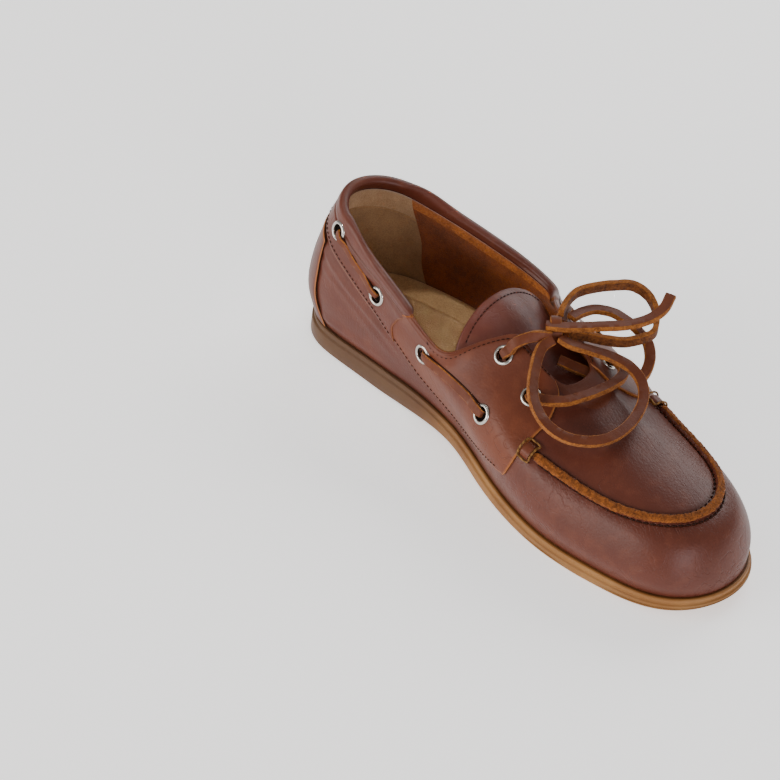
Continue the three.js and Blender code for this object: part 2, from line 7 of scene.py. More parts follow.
import logging
import math
from dataclasses import dataclass, field
from enum import Enum, IntEnum
from functools import cached_property
from typing import Callable, Sequence

import bmesh
import bpy
import numpy as np
from mathutils import Matrix, Vector

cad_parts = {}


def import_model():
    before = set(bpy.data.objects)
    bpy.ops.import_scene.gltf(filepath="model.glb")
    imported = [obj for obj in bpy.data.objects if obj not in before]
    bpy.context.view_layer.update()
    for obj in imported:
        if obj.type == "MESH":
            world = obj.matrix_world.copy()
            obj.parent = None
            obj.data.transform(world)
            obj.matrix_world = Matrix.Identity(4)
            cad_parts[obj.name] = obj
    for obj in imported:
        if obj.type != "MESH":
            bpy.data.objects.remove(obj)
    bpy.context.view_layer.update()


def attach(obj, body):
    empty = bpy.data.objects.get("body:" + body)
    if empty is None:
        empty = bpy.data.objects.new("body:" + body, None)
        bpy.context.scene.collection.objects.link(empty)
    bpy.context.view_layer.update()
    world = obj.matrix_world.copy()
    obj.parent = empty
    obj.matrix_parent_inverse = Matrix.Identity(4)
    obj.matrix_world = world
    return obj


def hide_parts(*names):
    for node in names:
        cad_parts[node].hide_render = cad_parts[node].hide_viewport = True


LOG = logging.getLogger("boat_shoe")
MM = 0.001
LATERAL_ADVANCE = 0.05
SHIFT = np.array([-126.81, -2.709, 0.0])
Array = np.ndarray
Table = Sequence[Sequence[float]]


def unit(vectors: Array) -> Array:
    """Scales vectors to length one."""
    return vectors / np.maximum(np.linalg.norm(vectors, axis=-1, keepdims=True), 1e-9)


def smooth(low: float, high: float, value: Array) -> Array:
    """Rises smoothly from 0 at low to 1 at high."""
    t = np.clip((np.asarray(value, float) - low) / (high - low), 0.0, 1.0)
    return t * t * (3.0 - 2.0 * t)


def read(table: Table, column: int, at: Array) -> Array:
    """Reads a column of a table smoothly, by its first column.

    Args:
        table: Rows, sorted by their first number.
        column: The column to read.
        at: Places in the first column, held within its range.

    Returns:
        The values, one for each place.
    """
    rows = np.asarray(table, float)
    key, value = rows[:, 0], rows[:, column]
    step = np.diff(key)
    rise = np.diff(value) / step
    slope = np.empty(len(key))
    slope[0], slope[-1] = rise[0], rise[-1]
    slope[1:-1] = (rise[:-1] * step[1:] + rise[1:] * step[:-1]) / (step[1:] + step[:-1])
    place = np.clip(np.asarray(at, float), key[0], key[-1])
    k = np.clip(np.searchsorted(key, place, side="right") - 1, 0, len(key) - 2)
    s = (place - key[k]) / step[k]
    return (
        value[k] * (2 * s**3 - 3 * s**2 + 1)
        + slope[k] * step[k] * (s**3 - 2 * s**2 + s)
        + value[k + 1] * (3 * s**2 - 2 * s**3)
        + slope[k + 1] * step[k] * (s**3 - s**2)
    )


def spline(points: Array, place: Array) -> Array:
    """Runs a centripetal curve through points.

    Args:
        points: The points, along the first axis.
        place: Places from 0 to 1, of the shape of one point without its last axis.

    Returns:
        One point for each place.
    """
    last = len(points) - 1
    padded = np.concatenate([[2 * points[0] - points[1]], points, [2 * points[-1] - points[-2]]])
    p = last * np.clip(place, 0.0, 1.0)
    k = np.minimum(p.astype(int), last - 1)
    w = (p - k)[..., None]
    if points.ndim == 2:
        a, b, c, d = (padded[k + n] for n in range(4))
    else:
        rest = tuple(np.indices(k.shape))
        a, b, c, d = (padded[(k + n,) + rest] for n in range(4))

    def gap(one: Array, other: Array) -> Array:
        """Square root of the distance between two points."""
        return np.maximum(((one - other) ** 2).sum(-1) ** 0.25, 1e-4)[..., None]

    g0, g1, g2 = gap(a, b), gap(b, c), gap(c, d)
    start = ((b - a) / g0 - (c - a) / (g0 + g1) + (c - b) / g1) * g1
    stop = ((c - b) / g1 - (d - b) / (g1 + g2) + (d - c) / g2) * g1
    return (
        b
        + start * w
        + (-3 * b + 3 * c - 2 * start - stop) * w**2
        + (2 * b - 2 * c + start + stop) * w**3
    )


def between(at: Array, keys: Array, rows: Array) -> Array:
    """Reads rows of three numbers between their keys."""
    return np.stack([np.interp(at, keys, rows[:, k]) for k in range(3)], -1)


def along_path(points: Array, count: int) -> Array:
    """Places a number of points evenly by length on the curve through others.

    Args:
        points: The curve's points, one per row.
        count: How many to place.

    Returns:
        The placed points.
    """
    fine = spline(points, np.linspace(0, 1, 24 * len(points)))
    reach = reach_of(fine)
    even = np.linspace(0, reach[-1], count)
    return between(even, reach, fine)


def path_length(points: Array) -> float:
    """Length of a run of points."""
    return float(np.linalg.norm(np.diff(points, axis=0), axis=1).sum())


def reach_of(points: Array) -> Array:
    """Length from the first of a run of points to each."""
    return np.concatenate([[0], np.cumsum(np.linalg.norm(np.diff(points, axis=0), axis=1))])


def hump(value: Array, centre: float, width: float) -> Array:
    """A smooth hump, 1 at its centre."""
    return np.exp(-(((value - centre) / width) ** 2))


def circle(count: int) -> Array:
    """Angles of a full turn, evenly spaced."""
    return np.arange(count) * 2 * math.pi / count


def from_heel(angle: Array) -> Array:
    """Share of the half turn from the heel to the toe, the same on both sides."""
    return np.minimum(angle, 2 * math.pi - angle) / math.pi


def spokes(turn: Array, one: Array, two: Array) -> Array:
    """Directions at angles, from the first of two directions toward the second."""
    return np.cos(turn)[:, None] * one[..., None, :] + np.sin(turn)[:, None] * two[..., None, :]


def sections(centre: Array, side: Array, up: Array, outline: Array) -> Array:
    """Rings of points.

    Args:
        centre: The rings' centres.
        side: Direction of the outline's first number, for each ring or for all.
        up: Direction of its second number.
        outline: Two numbers for each point of a ring.

    Returns:
        The rings, one per row.
    """
    return (
        centre[..., None, :]
        + side[..., None, :] * outline[..., :1]
        + up[..., None, :] * outline[..., 1:]
    )


def unevenness(seed: int, count: int, sides: int, middle: float = 1.0) -> Array:
    """Random wander of each point of a number of rings, softened along them.

    Args:
        seed: The random seed.
        count: The rings.
        sides: Points in each.
        middle: Weight of a ring against each of its neighbours.

    Returns:
        Two numbers for each point.
    """
    rough = np.random.default_rng(seed).normal(0, 1, (count, sides, 2))
    for _ in range(2):
        rough = (np.roll(rough, 1, 0) + middle * rough + np.roll(rough, -1, 0)) / (2 + middle)
    return rough


class Side(Enum):
    """The two sides of the shoe."""

    MEDIAL = "medial"
    LATERAL = "lateral"

    def turn(self, angle: Array) -> Array:
        """Angle around the last for an angle measured from the heel on this side."""
        return angle if self is Side.MEDIAL else 2 * math.pi - angle

    def advance(self, angle: Array) -> Array:
        """Moves a saddle's angle forward on the lateral side, where the saddle reaches further."""
        if self is Side.MEDIAL:
            return np.asarray(angle, float)
        return angle + LATERAL_ADVANCE * smooth(0.55, 0.66, angle)


class Stance(Enum):
    """How a strap of lace stands on its route."""

    FLAT = "flat"
    EDGE = "edge"


@dataclass(frozen=True)
class Last:
    """The foot form that every piece of leather follows."""

    length: float = 250.0
    setback: float = 4.0
    half_width: float = 50.0
    back_height: float = 75.0
    sole_height: float = 12.0
    gap: float = 0.35
    seam_level: float = 0.6
    seam_rise: float = 0.04
    columns: int = 720
    rows: int = 160
    blend_reach: int = 12
    blend_width: float = 4.5
    probe: float = 0.008
    rings: Sequence[Table] = (
        (
            (0, 0, 1.22), (0.12, 0.12, 0.86), (0.25, 0.25, 0.7), (0.4, 0.4, 0.63),
            (0.55, 0.55, 0.74), (0.7, 0.7, 0.89), (0.85, 0.85, 0.98), (1, 1, 1.24),
        ),
        (
            (0, -0.02, 1.21, 0.34), (0.12, 0.1, 0.88, 0.33), (0.25, 0.244, 0.735, 0.32),
            (0.4, 0.396, 0.67, 0.28), (0.55, 0.552, 0.81, 0.265), (0.7, 0.708, 0.95, 0.24),
            (0.85, 0.864, 1.015, 0.23), (1, 0.995, 1.3, 0.245),
        ),
        (
            (0, -0.016, 1.16, 0.56), (0.12, 0.1, 0.85, 0.51), (0.25, 0.24, 0.75, 0.455),
            (0.4, 0.388, 0.73, 0.42), (0.55, 0.536, 0.83, 0.43), (0.7, 0.684, 0.88, 0.415),
            (0.85, 0.828, 0.935, 0.41), (1, 0.967, 1.18, 0.445),
        ),
        (
            (0, -0.005, 1.085, 0.72), (0.12, 0.1, 0.815, 0.64), (0.25, 0.232, 0.745, 0.555),
            (0.4, 0.388, 0.757, 0.515), (0.55, 0.525, 0.752, 0.565), (0.7, 0.624, 0.785, 0.52),
            (0.85, 0.784, 0.86, 0.485), (1, 0.927, 0.99, 0.52),
        ),
        (
            (0, 0.002, 1, 0.845), (0.12, 0.108, 0.785, 0.755), (0.25, 0.243, 0.735, 0.65),
            (0.32, 0.316, 0.757, 0.605), (0.38, 0.384, 0.73, 0.595), (0.44, 0.43, 0.625, 0.66),
            (0.5, 0.47, 0.495, 0.735), (0.6, 0.53, 0.415, 0.74), (0.7, 0.588, 0.38, 0.705),
            (0.85, 0.672, 0.36, 0.66), (1, 0.744, 0.44, 0.625),
        ),
        (
            (0, 0.021, 0.87, 1.02), (0.05, 0.06, 0.83, 0.975), (0.12, 0.124, 0.78, 0.885),
            (0.22, 0.226, 0.76, 0.79), (0.32, 0.328, 0.775, 0.707), (0.38, 0.386, 0.745, 0.67),
            (0.44, 0.414, 0.51, 0.756), (0.5, 0.464, 0.28, 0.877), (0.56, 0.482, 0.25, 0.883),
            (0.66, 0.521, 0.25, 0.84), (0.78, 0.56, 0.26, 0.786), (0.9, 0.583, 0.28, 0.76),
            (1, 0.59, 0.3, 0.753),
        ),
    )
    swing_line: Table = (
        (-0.016, 0), (0.104, 0.1), (0.284, 0.16), (0.424, 0.12), (0.584, 0), (0.744, -0.05),
        (0.884, -0.1), (1.016, -0.14),
    )
    sole_line: Table = (
        (-0.016, 0.125, 1.1), (0.032, 0, 1), (0.224, 0, 1), (0.284, 0.05, 1),
        (0.404, 0.18, 0.88), (0.524, 0.04, 0.72), (0.584, 0, 0.63), (0.784, 0, 0.58),
        (0.884, 0.13, 0.68), (0.964, 0.35, 0.85), (1.016, 0.57, 1.02),
    )

    def share(self, x: Array) -> Array:
        """Share of the feather line's length at x."""
        return (np.asarray(x, float) - self.setback) / self.length

    def swing(self, x: Array) -> Array:
        """Sideways place of the centre line at x."""
        return self.half_width * read(self.swing_line, 1, self.share(x))

    def seam(self, angle: Array) -> Array:
        """Level of the raised seam, which climbs toward its lateral end."""
        climb = self.seam_rise * smooth(1.14, 1.3, np.asarray(angle, float) / math.pi)
        return self.seam_level + climb

    def sole_bottom(self, x: Array) -> Array:
        """Height of the sole's underside at x."""
        return self.sole_height * np.maximum(read(self.sole_line, 1, self.share(x)), 0.0)

    def sole_top(self, x: Array) -> Array:
        """Height of the sole's top at x."""
        return self.sole_height * read(self.sole_line, 2, self.share(x))

    def ring(self, index: int, angle: Array) -> Array:
        """Points of one ring around the shoe.

        Args:
            index: The ring, from the feather line (0) to the topline (5).
            angle: Angles from the heel over the medial side.

        Returns:
            The points.
        """
        turn = (1 - np.cos(angle)) / 2
        table = self.rings[index]
        x = self.setback + self.length * read(table, 1, turn)
        y = self.swing(x) - self.half_width * read(table, 2, turn) * np.sin(angle)
        z = self.sole_top(x) + self.gap if index == 0 else self.back_height * read(table, 3, turn)
        return np.stack([x, y, z], -1)

    @cached_property
    def grid(self) -> Array:
        """The surface on a fine grid, with the tables' joints smoothed out."""
        angle = circle(self.columns)
        rings = np.stack([self.ring(k, angle) for k in range(len(self.rings))])
        levels = np.linspace(0, 1, self.rows + 1)
        grid = np.stack([spline(rings, np.full(self.columns, level)) for level in levels])
        reach = self.blend_reach
        kernel = np.exp(-0.5 * (np.arange(-reach, reach + 1) / self.blend_width) ** 2)
        kernel /= kernel.sum()
        wrapped = np.concatenate([grid[:, -reach:], grid, grid[:, :reach]], axis=1)
        grid = sum(w * wrapped[:, n : n + self.columns] for n, w in enumerate(kernel))
        low = 2 * grid[:1] - grid[reach:0:-1]
        high = 2 * grid[-1:] - grid[-2 : -reach - 2 : -1]
        tall = np.concatenate([low, grid, high])
        return sum(w * tall[n : n + self.rows + 1] for n, w in enumerate(kernel))

    def skin(self, angle: Array, level: Array) -> Array:
        """Points of the surface.

        Args:
            angle: Angles around the shoe.
            level: Levels from the sole (0) to the topline (1).

        Returns:
            The points, of the two inputs' common shape.
        """
        angle, level = np.broadcast_arrays(np.asarray(angle, float), np.asarray(level, float))
        u = np.mod(angle, 2 * math.pi) * self.columns / (2 * math.pi)
        v = np.clip(level, 0, 1) * self.rows
        i, j = np.floor(u).astype(int), np.minimum(np.floor(v).astype(int), self.rows - 1)
        s, t = (u - i)[..., None], (v - j)[..., None]

        def weights(w: Array) -> tuple[Array, ...]:
            """Weights of four neighbours for a smooth reading between the middle two."""
            return (
                -0.5 * w + w**2 - 0.5 * w**3,
                1 - 2.5 * w**2 + 1.5 * w**3,
                0.5 * w + 2 * w**2 - 1.5 * w**3,
                -0.5 * w**2 + 0.5 * w**3,
            )

        tall = self.padded_grid
        result = np.zeros(angle.shape + (3,))
        for b, wt in enumerate(weights(t)):
            for a, ws in enumerate(weights(s)):
                result += wt * ws * tall[j + b, (i + a - 1) % self.columns]
        return result

    @cached_property
    def padded_grid(self) -> Array:
        """The grid with one more row past each end."""
        grid = self.grid
        return np.concatenate([2 * grid[:1] - grid[1:2], grid, 2 * grid[-1:] - grid[-2:-1]])

    def normal(self, angle: Array, level: Array) -> Array:
        """Outward directions of the surface."""
        step = self.probe
        ahead = self.skin(angle + step, level) - self.skin(angle - step, level)
        rise = self.skin(angle, np.minimum(level + step, 1)) - self.skin(
            angle, np.maximum(level - step, 0)
        )
        return unit(np.cross(ahead, rise))

    def lifted(self, angle: Array, level: Array, height: Array) -> Array:
        """Points at a height over the surface."""
        base = self.skin(angle, level)
        return base + self.normal(angle, level) * np.asarray(height, float)[..., None]

    def outline(self, angle: Array, margin: Array, height: Array) -> Array:
        """Points beside the feather line.

        Args:
            angle: Angles around the shoe.
            margin: Distance outside the line.
            height: Their heights.

        Returns:
            The points.
        """
        point = self.ring(0, angle)
        ahead = self.ring(0, angle + 0.01) - self.ring(0, angle - 0.01)
        out = unit(np.stack([ahead[..., 1], -ahead[..., 0], np.zeros(ahead.shape[:-1])], -1))
        point = point + out * np.asarray(margin, float)[..., None]
        point[..., 2] = height
        return point


def quads(rows: int, columns: int, wrap: bool = False) -> Array:
    """Faces of a grid of points.

    Args:
        rows: Points down the grid.
        columns: Points across it.
        wrap: Whether its last column joins the first.

    Returns:
        Four point numbers for each face.
    """
    j, i = np.meshgrid(
        np.arange(rows - 1), np.arange(columns if wrap else columns - 1), indexing="ij"
    )
    a, b = j * columns + i, j * columns + (i + 1) % columns
    return np.stack([a, b, b + columns, a + columns], -1).reshape(-1, 4)


@dataclass
class Shape:
    """Points and faces on the way to a mesh, with a finish number for each face."""

    points: list[Array] = field(default_factory=list)
    faces: list[tuple[int, ...]] = field(default_factory=list)
    tags: list[int] = field(default_factory=list)
    count: int = 0

    def add(self, points: Array, faces: Array | list, tag: int | Array = 0) -> "Shape":
        """Adds points and the faces between them.

        Args:
            points: The points, in millimetres.
            faces: Point numbers of each face, from 0 for the first of these points.
            tag: The finish of the faces, one number or one for each.

        Returns:
            This shape.
        """
        flat = np.asarray(points, float).reshape(-1, 3)
        self.points.append(flat)
        self.faces.extend(tuple(int(p) + self.count for p in face) for face in faces)
        self.tags.extend(np.broadcast_to(tag, len(faces)).tolist())
        self.count += len(flat)
        return self

    def add_sheet(
        self, front: Array, back: Array, tags: tuple[int, int, int | Array] = (0, 0, 0)
    ) -> "Shape":
        """Adds a closed sheet between two grids of points.

        Args:
            front: The outer grid.
            back: The inner grid.
            tags: Finishes of the front, the back and the rim. The rim's may be one for each
                of its faces, along the first row, down the last column and on round.

        Returns:
            This shape.
        """
        rows, columns = front.shape[:2]
        size = rows * columns
        cells = quads(rows, columns)
        index = np.arange(size).reshape(rows, columns)
        edge = np.concatenate([index[0], index[1:, -1], index[-1, -2::-1], index[-2:0:-1, 0]])
        after = np.roll(edge, -1)
        rim = np.stack([after, edge, edge + size, after + size], -1)
        faces = np.concatenate([cells, cells[:, ::-1] + size, rim])
        every = [np.full(len(cells), tags[0]), np.full(len(cells), tags[1])]
        every.append(np.broadcast_to(tags[2], len(rim)))
        return self.add(np.stack([front, back]), faces, np.concatenate(every))

    def add_sweep(self, rings: Array, tags: Array | int = 0, closed: bool = False) -> "Shape":
        """Adds a tube through rings of points.

        Args:
            rings: The rings, one per row, all with as many points.
            tags: A finish for each side of the rings' outline, or one for all.
            closed: Whether the last ring joins the first. Open tubes get end faces.

        Returns:
            This shape.
        """
        count, around = rings.shape[:2]
        joined = np.concatenate([rings, rings[:1]]) if closed else rings
        cells = quads(len(joined), around, True)
        if closed:
            cells = cells % (count * around)
        faces = cells.tolist()
        every = np.tile(np.broadcast_to(tags, around), len(joined) - 1).tolist()
        if not closed:
            faces.append(list(range(around))[::-1])
            faces.append([(count - 1) * around + k for k in range(around)])
            every += [int(np.max(tags))] * 2
        return self.add(rings, faces, np.array(every))

    def build(
        self,
        name: str,
        finishes: Sequence["Finish"],
        sharp: float | None = None,
        **fields: Array,
    ) -> bpy.types.Object:
        """Makes the mesh object.

        Args:
            name: Its name.
            finishes: Its finishes, in the order of the faces' numbers.
            sharp: Edges that turn more than this many degrees stay crisp.
            **fields: Values for each point, such as wear.

        Returns:
            The object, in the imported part's frame.
        """
        mesh = bpy.data.meshes.new(name)
        points = (np.concatenate(self.points) + SHIFT) * MM
        mesh.from_pydata(points.tolist(), [], self.faces)
        for finish in finishes:
            mesh.materials.append(finish.material())
        mesh.polygons.foreach_set("material_index", self.tags)
        mesh.polygons.foreach_set("use_smooth", [True] * len(self.faces))
        work = bmesh.new()
        work.from_mesh(mesh)
        bmesh.ops.recalc_face_normals(work, faces=work.faces)
        work.to_mesh(mesh)
        work.free()
        for key, value in fields.items():
            flat = np.asarray(value, float)
            kind = "FLOAT_VECTOR" if flat.ndim == 2 else "FLOAT"
            layer = mesh.attributes.new(key, kind, "POINT")
            layer.data.foreach_set("vector" if flat.ndim == 2 else "value", flat.ravel())
        if sharp is not None:
            mesh.set_sharp_from_angle(angle=math.radians(sharp))
        mesh.update()
        piece = bpy.data.objects.new(name, mesh)
        bpy.context.scene.collection.objects.link(piece)
        return piece

    def dress(
        self,
        name: str,
        finishes: Sequence["Finish"],
        *nodes: str,
        sharp: float | None = None,
        **fields: Array,
    ) -> bpy.types.Object:
        """Makes the mesh object and sets it on the part's body.

        Args:
            name: Its name.
            finishes: Its finishes, in the order of the faces' numbers.
            *nodes: The CAD nodes that it takes the place of.
            sharp: Edges that turn more than this many degrees stay crisp.
            **fields: Values for each point, such as wear.

        Returns:
            The object.
        """
        piece = self.build(name, finishes, sharp, **fields)
        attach(piece, "root")
        if nodes:
            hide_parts(*nodes)
        LOG.info("%s: %d faces, in place of %s", name, len(piece.data.polygons), nodes or "none")
        return piece


def linear(code: str) -> tuple[float, float, float, float]:
    """Turns an sRGB hex colour into linear values with alpha."""
    values = [int(code[k : k + 2], 16) / 255 for k in (1, 3, 5)]
    turned = [v / 12.92 if v <= 0.04045 else ((v + 0.055) / 1.055) ** 2.4 for v in values]
    return (*turned, 1.0)


def add_node(
    tree: bpy.types.NodeTree,
    kind: str,
    settings: dict[str | int, object] | None = None,
    links: dict[str | int, bpy.types.NodeSocket] | None = None,
) -> bpy.types.Node:
    """Adds a shader node.

    Args:
        tree: The material's node tree.
        kind: The node's type.
        settings: The node's own attributes, and values of its inputs by name or number.
        links: Sockets to link to its inputs, by name or number.

    Returns:
        The node.
    """
    node = tree.nodes.new(kind)
    for key, value in (settings or {}).items():
        if isinstance(key, str) and hasattr(node, key):
            setattr(node, key, value)
        else:
            node.inputs[key].default_value = value
    for key, socket in (links or {}).items():
        tree.links.new(socket, node.inputs[key])
    return node


Socket = bpy.types.NodeSocket
Colour = tuple[float, float, float, float]


@dataclass
class Graph:
    """A material's nodes, with short names for the kinds that the finishes share."""

    tree: bpy.types.NodeTree
    shader: bpy.types.Node

    def set(self, name: str, value: Socket | Colour | float) -> None:
        """Gives an input of the main shader a socket or a fixed value."""
        if isinstance(value, Socket):
            self.tree.links.new(value, self.shader.inputs[name])
        else:
            self.shader.inputs[name].default_value = value

    def place(self) -> Socket:
        """The piece's own coordinates, in metres."""
        return add_node(self.tree, "ShaderNodeTexCoord").outputs["Object"]

    def point(self, name: str, output: str = "Fac") -> Socket:
        """A value stored on the mesh."""
        return add_node(self.tree, "ShaderNodeAttribute", {"attribute_name": name}).outputs[output]

    def noise(
        self,
        size: float,
        detail: float,
        rough: float = 0.5,
        warp: float = 0.0,
        at: Socket | None = None,
    ) -> Socket:
        """Cloudy noise.

        Args:
            size: Size of its clouds in millimetres, or in the units of the coordinates given.
            detail: Number of finer octaves.
            rough: Weight of the finer octaves.
            warp: How far it is pushed about.
            at: Coordinates in place of the piece's own.

        Returns:
            The noise, around 0.5.
        """
        scale = 1 / size if at else 1 / (size * MM)
        settings = {"Scale": scale, "Detail": detail, "Roughness": rough, "Distortion": warp}
        links = {"Vector": at or self.place()}
        return add_node(self.tree, "ShaderNodeTexNoise", settings, links).outputs["Fac"]

    def ramp(
        self,
        value: Socket,
        span: tuple[float, float],
        to: tuple[float, float] = (0.0, 1.0),
        soft: bool = False,
    ) -> Socket:
        """Carries a value from one span to another, held within it."""
        settings = {
            "From Min": span[0], "From Max": span[1], "To Min": to[0], "To Max": to[1],
            "interpolation_type": "SMOOTHSTEP" if soft else "LINEAR",
        }
        node = add_node(self.tree, "ShaderNodeMapRange", settings, {"Value": value})
        return node.outputs["Result"]

    def maths(self, operation: str, one: Socket, other: Socket | float | None = None) -> Socket:
        """Sum, product or other simple result of one or two values."""
        settings: dict[str | int, object] = {"operation": operation}
        settings["use_clamp"] = operation == "ADD"
        links: dict[str | int, Socket] = {0: one}
        if other is not None:
            (links if isinstance(other, Socket) else settings)[1] = other
        return add_node(self.tree, "ShaderNodeMath", settings, links).outputs[0]

    def line(self, value: Socket, width: float) -> Socket:
        """Thin lines where a noise crosses its middle."""
        size = self.maths("ABSOLUTE", self.maths("SUBTRACT", value, 0.5))
        return self.ramp(size, (0.0, width), (1.0, 0.0), soft=True)

    def mix(self, share: Socket, low: Socket | str, high: Socket | str) -> Socket:
        """Mixes two colours, each a socket or an sRGB hex code."""
        settings: dict[str | int, object] = {"data_type": "RGBA"}
        links: dict[str | int, Socket] = {0: share}
        for key, colour in ((6, low), (7, high)):
            if isinstance(colour, str):
                settings[key] = linear(colour)
            else:
                links[key] = colour
        return add_node(self.tree, "ShaderNodeMix", settings, links).outputs[2]

    def bump(self, *layers: tuple[Socket, float, bool], strength: float = 1.0) -> None:
        """Gives the main shader its relief.

        Args:
            *layers: Height, its full size in millimetres, and whether it goes inward.
            strength: Share of the relief that shows.
        """
        normal: Socket | None = None
        for height, size, inward in layers:
            settings = {"Strength": strength, "Distance": size * MM, "invert": inward}
            links = {"Height": height, **({"Normal": normal} if normal else {})}
            normal = add_node(self.tree, "ShaderNodeBump", settings, links).outputs["Normal"]
        self.set("Normal", normal)


@dataclass(frozen=True)
class Finish:
    """A material, and the record's slot that it belongs to."""

    name: str
    slot: str
    roughness: float = 0.5

    def material(self) -> bpy.types.Material:
        """The material, made on first use."""
        made = bpy.data.materials.get(self.name)
        if made is None:
            made = bpy.data.materials.new(self.name)
            made.use_nodes = True
            graph = Graph(made.node_tree, made.node_tree.nodes["Principled BSDF"])
            graph.set("Roughness", self.roughness)
            self.paint(graph)
        return made

    def paint(self, graph: Graph) -> None:
        """Adds the nodes."""
        raise NotImplementedError


@dataclass(frozen=True)
class GrainLeather(Finish):
    """Full-grain leather, drum-dyed and polished: a soft gloss over fine grain and creases."""

    base: str = "#5F2F21"
    dark: str = "#4F2418"
    glow: str = "#74402C"
    raw: str = "#A8652E"
    mottle_mm: float = 38.0
    fleck_mm: float = 6.0
    grain_mm: float = 1.1
    wrinkle_mm: float = 9.0
    depth_mm: float = 0.05
    groove_mm: float = 0.12
    crease_mm: float = 0.1
    shine: float = 0.3

    def paint(self, graph: Graph) -> None:
        """Colour from slow mottling and darker creases, relief from grain, wrinkles and creases."""
        slow = graph.noise(self.mottle_mm, 3.0)
        fast = graph.noise(self.fleck_mm, 5.0)
        wrinkle = graph.noise(self.wrinkle_mm, 4.0, warp=0.7)
        where = graph.ramp(slow, (0.5, 0.66))
        groove = graph.maths("MULTIPLY", graph.line(wrinkle, 0.035), where)
        folds = graph.noise(1.0, 3.0, 0.6, 0.3, graph.point("flow", "Vector"))
        strength = graph.point("crease")
        crease = graph.maths("MULTIPLY", graph.line(folds, 0.06), strength)
        wave = graph.maths("MULTIPLY", folds, strength)
        grain = add_node(
            graph.tree,
            "ShaderNodeTexVoronoi",
            {"Scale": 1 / (self.grain_mm * MM), "feature": "SMOOTH_F1", "Smoothness": 0.6},
            {"Vector": graph.place()},
        ).outputs["Distance"]
        body = graph.mix(graph.ramp(slow, (0.35, 0.68)), self.dark, self.base)
        body = graph.mix(graph.ramp(fast, (0.5, 0.8), (0.0, 0.35)), body, self.glow)
        marks = graph.maths("MULTIPLY", graph.maths("ADD", groove, crease), 0.25)
        body = graph.mix(marks, body, self.dark)
        graph.set("Base Color", graph.mix(graph.point("wear"), body, self.raw))
        graph.bump(
            (grain, self.depth_mm, True), (groove, self.groove_mm, True),
            (crease, self.crease_mm, True), (wave, 1.5 * self.crease_mm, False),
        )
        graph.set("Specular IOR Level", self.shine)


@dataclass(frozen=True)
class NapLeather(Finish):
    """Suede or a raw cut edge: split fibres that scatter light, with no gloss."""

    base: str = "#A98F68"
    dark: str = "#7C6442"
    fibre_mm: float = 0.7
    patch_mm: float = 7.0
    relief_mm: float = 0.25
    sheen: float = 0.25

    def paint(self, graph: Graph) -> None:
        """Two tones from fibre clumps and larger brushed patches, with a matt fuzzy relief."""
        fibre, patch = (graph.noise(size, 4.0, 0.65) for size in (self.fibre_mm, self.patch_mm))
        both = add_node(
            graph.tree, "ShaderNodeMix", {"data_type": "FLOAT", 0: 0.55}, {2: patch, 3: fibre}
        ).outputs[0]
        graph.set("Base Color", graph.mix(graph.ramp(both, (0.36, 0.62)), self.dark, self.base))
        graph.bump((fibre, self.relief_mm, False))
        graph.set("Specular IOR Level", 0.15)
        graph.set("Sheen Weight", self.sheen)
        graph.set("Sheen Roughness", 0.5)


@dataclass(frozen=True)
class GumRubber(Finish):
    """Moulded gum rubber: warm, slightly translucent and satin, with painted shade that darkens it
    toward the heel.
    """

    base: str = "#976A3A"
    dark: str = "#7D5028"
    heel_shade: str = "#452F20"
    cloud_mm: float = 30.0
    texture_mm: float = 0.9
    relief_mm: float = 0.05

    def paint(self, graph: Graph) -> None:
        """A clouded tan with a fine moulded texture, and painted shade toward the heel."""
        share = graph.ramp(graph.noise(self.cloud_mm, 3.0), (0.3, 0.6))
        body = graph.mix(share, self.dark, self.base)
        parts = add_node(graph.tree, "ShaderNodeSeparateXYZ", None, {"Vector": graph.place()})
        # Painted shade: the colour darkens toward the heel end and stands in for a shadow there.
        heel = graph.ramp(parts.outputs["X"], (0.005, -0.06), (0.0, 0.85), soft=True)
        graph.set("Base Color", graph.mix(heel, body, self.heel_shade))
        graph.bump((graph.noise(self.texture_mm, 2.0), self.relief_mm, False), strength=0.6)
        graph.set("Specular IOR Level", 0.25)
        graph.set("Subsurface Weight", 0.12)
        graph.set("Subsurface Radius", (0.003, 0.0015, 0.0007))


@dataclass(frozen=True)
class Nickel(Finish):
    """Polished nickel plate: bright and slightly warm, with soft wear."""

    base: str = "#BFBAB2"
    rub_mm: float = 2.0

    def paint(self, graph: Graph) -> None:
        """A plain metal whose roughness drifts a little."""
        rub = graph.noise(self.rub_mm, 3.0)
        drift = (self.roughness - 0.06, self.roughness + 0.1)
        graph.set("Roughness", graph.ramp(rub, (0.0, 1.0), drift))
        graph.set("Base Color", linear(self.base))
        graph.set("Metallic", 1.0)


@dataclass(frozen=True)
class Thread(Finish):
    """Waxed polyester thread, twisted: a low gloss with a fine slanted twist."""

    base: str = "#361A10"
    dark: str = "#200E07"
    twist_mm: float = 0.45
    relief_mm: float = 0.1

    def paint(self, graph: Graph) -> None:
        """Bands of the twist in two tones."""
        scale = 1 / (6.283 * self.twist_mm * MM)
        twist = add_node(
            graph.tree,
            "ShaderNodeTexWave",
            {"Scale": scale, "Distortion": 1.5, "bands_direction": "DIAGONAL"},
            {"Vector": graph.place()},
        ).outputs["Fac"]
        graph.set("Base Color", graph.mix(twist, self.dark, self.base))
        graph.bump((twist, self.relief_mm, False), strength=0.7)
        graph.set("Specular IOR Level", 0.12)


@dataclass(frozen=True)
class Paper(Finish):
    """Plain studio paper under the shoe, lit from beneath like a light table."""

    base: str = "#F3F2F1"
    glow: float = 0.9

    def paint(self, graph: Graph) -> None:
        """A matt pale sheet."""
        graph.set("Base Color", linear(self.base))
        graph.set("Specular IOR Level", 0.1)
        graph.set("Emission Color", linear(self.base))
        graph.set("Emission Strength", self.glow)


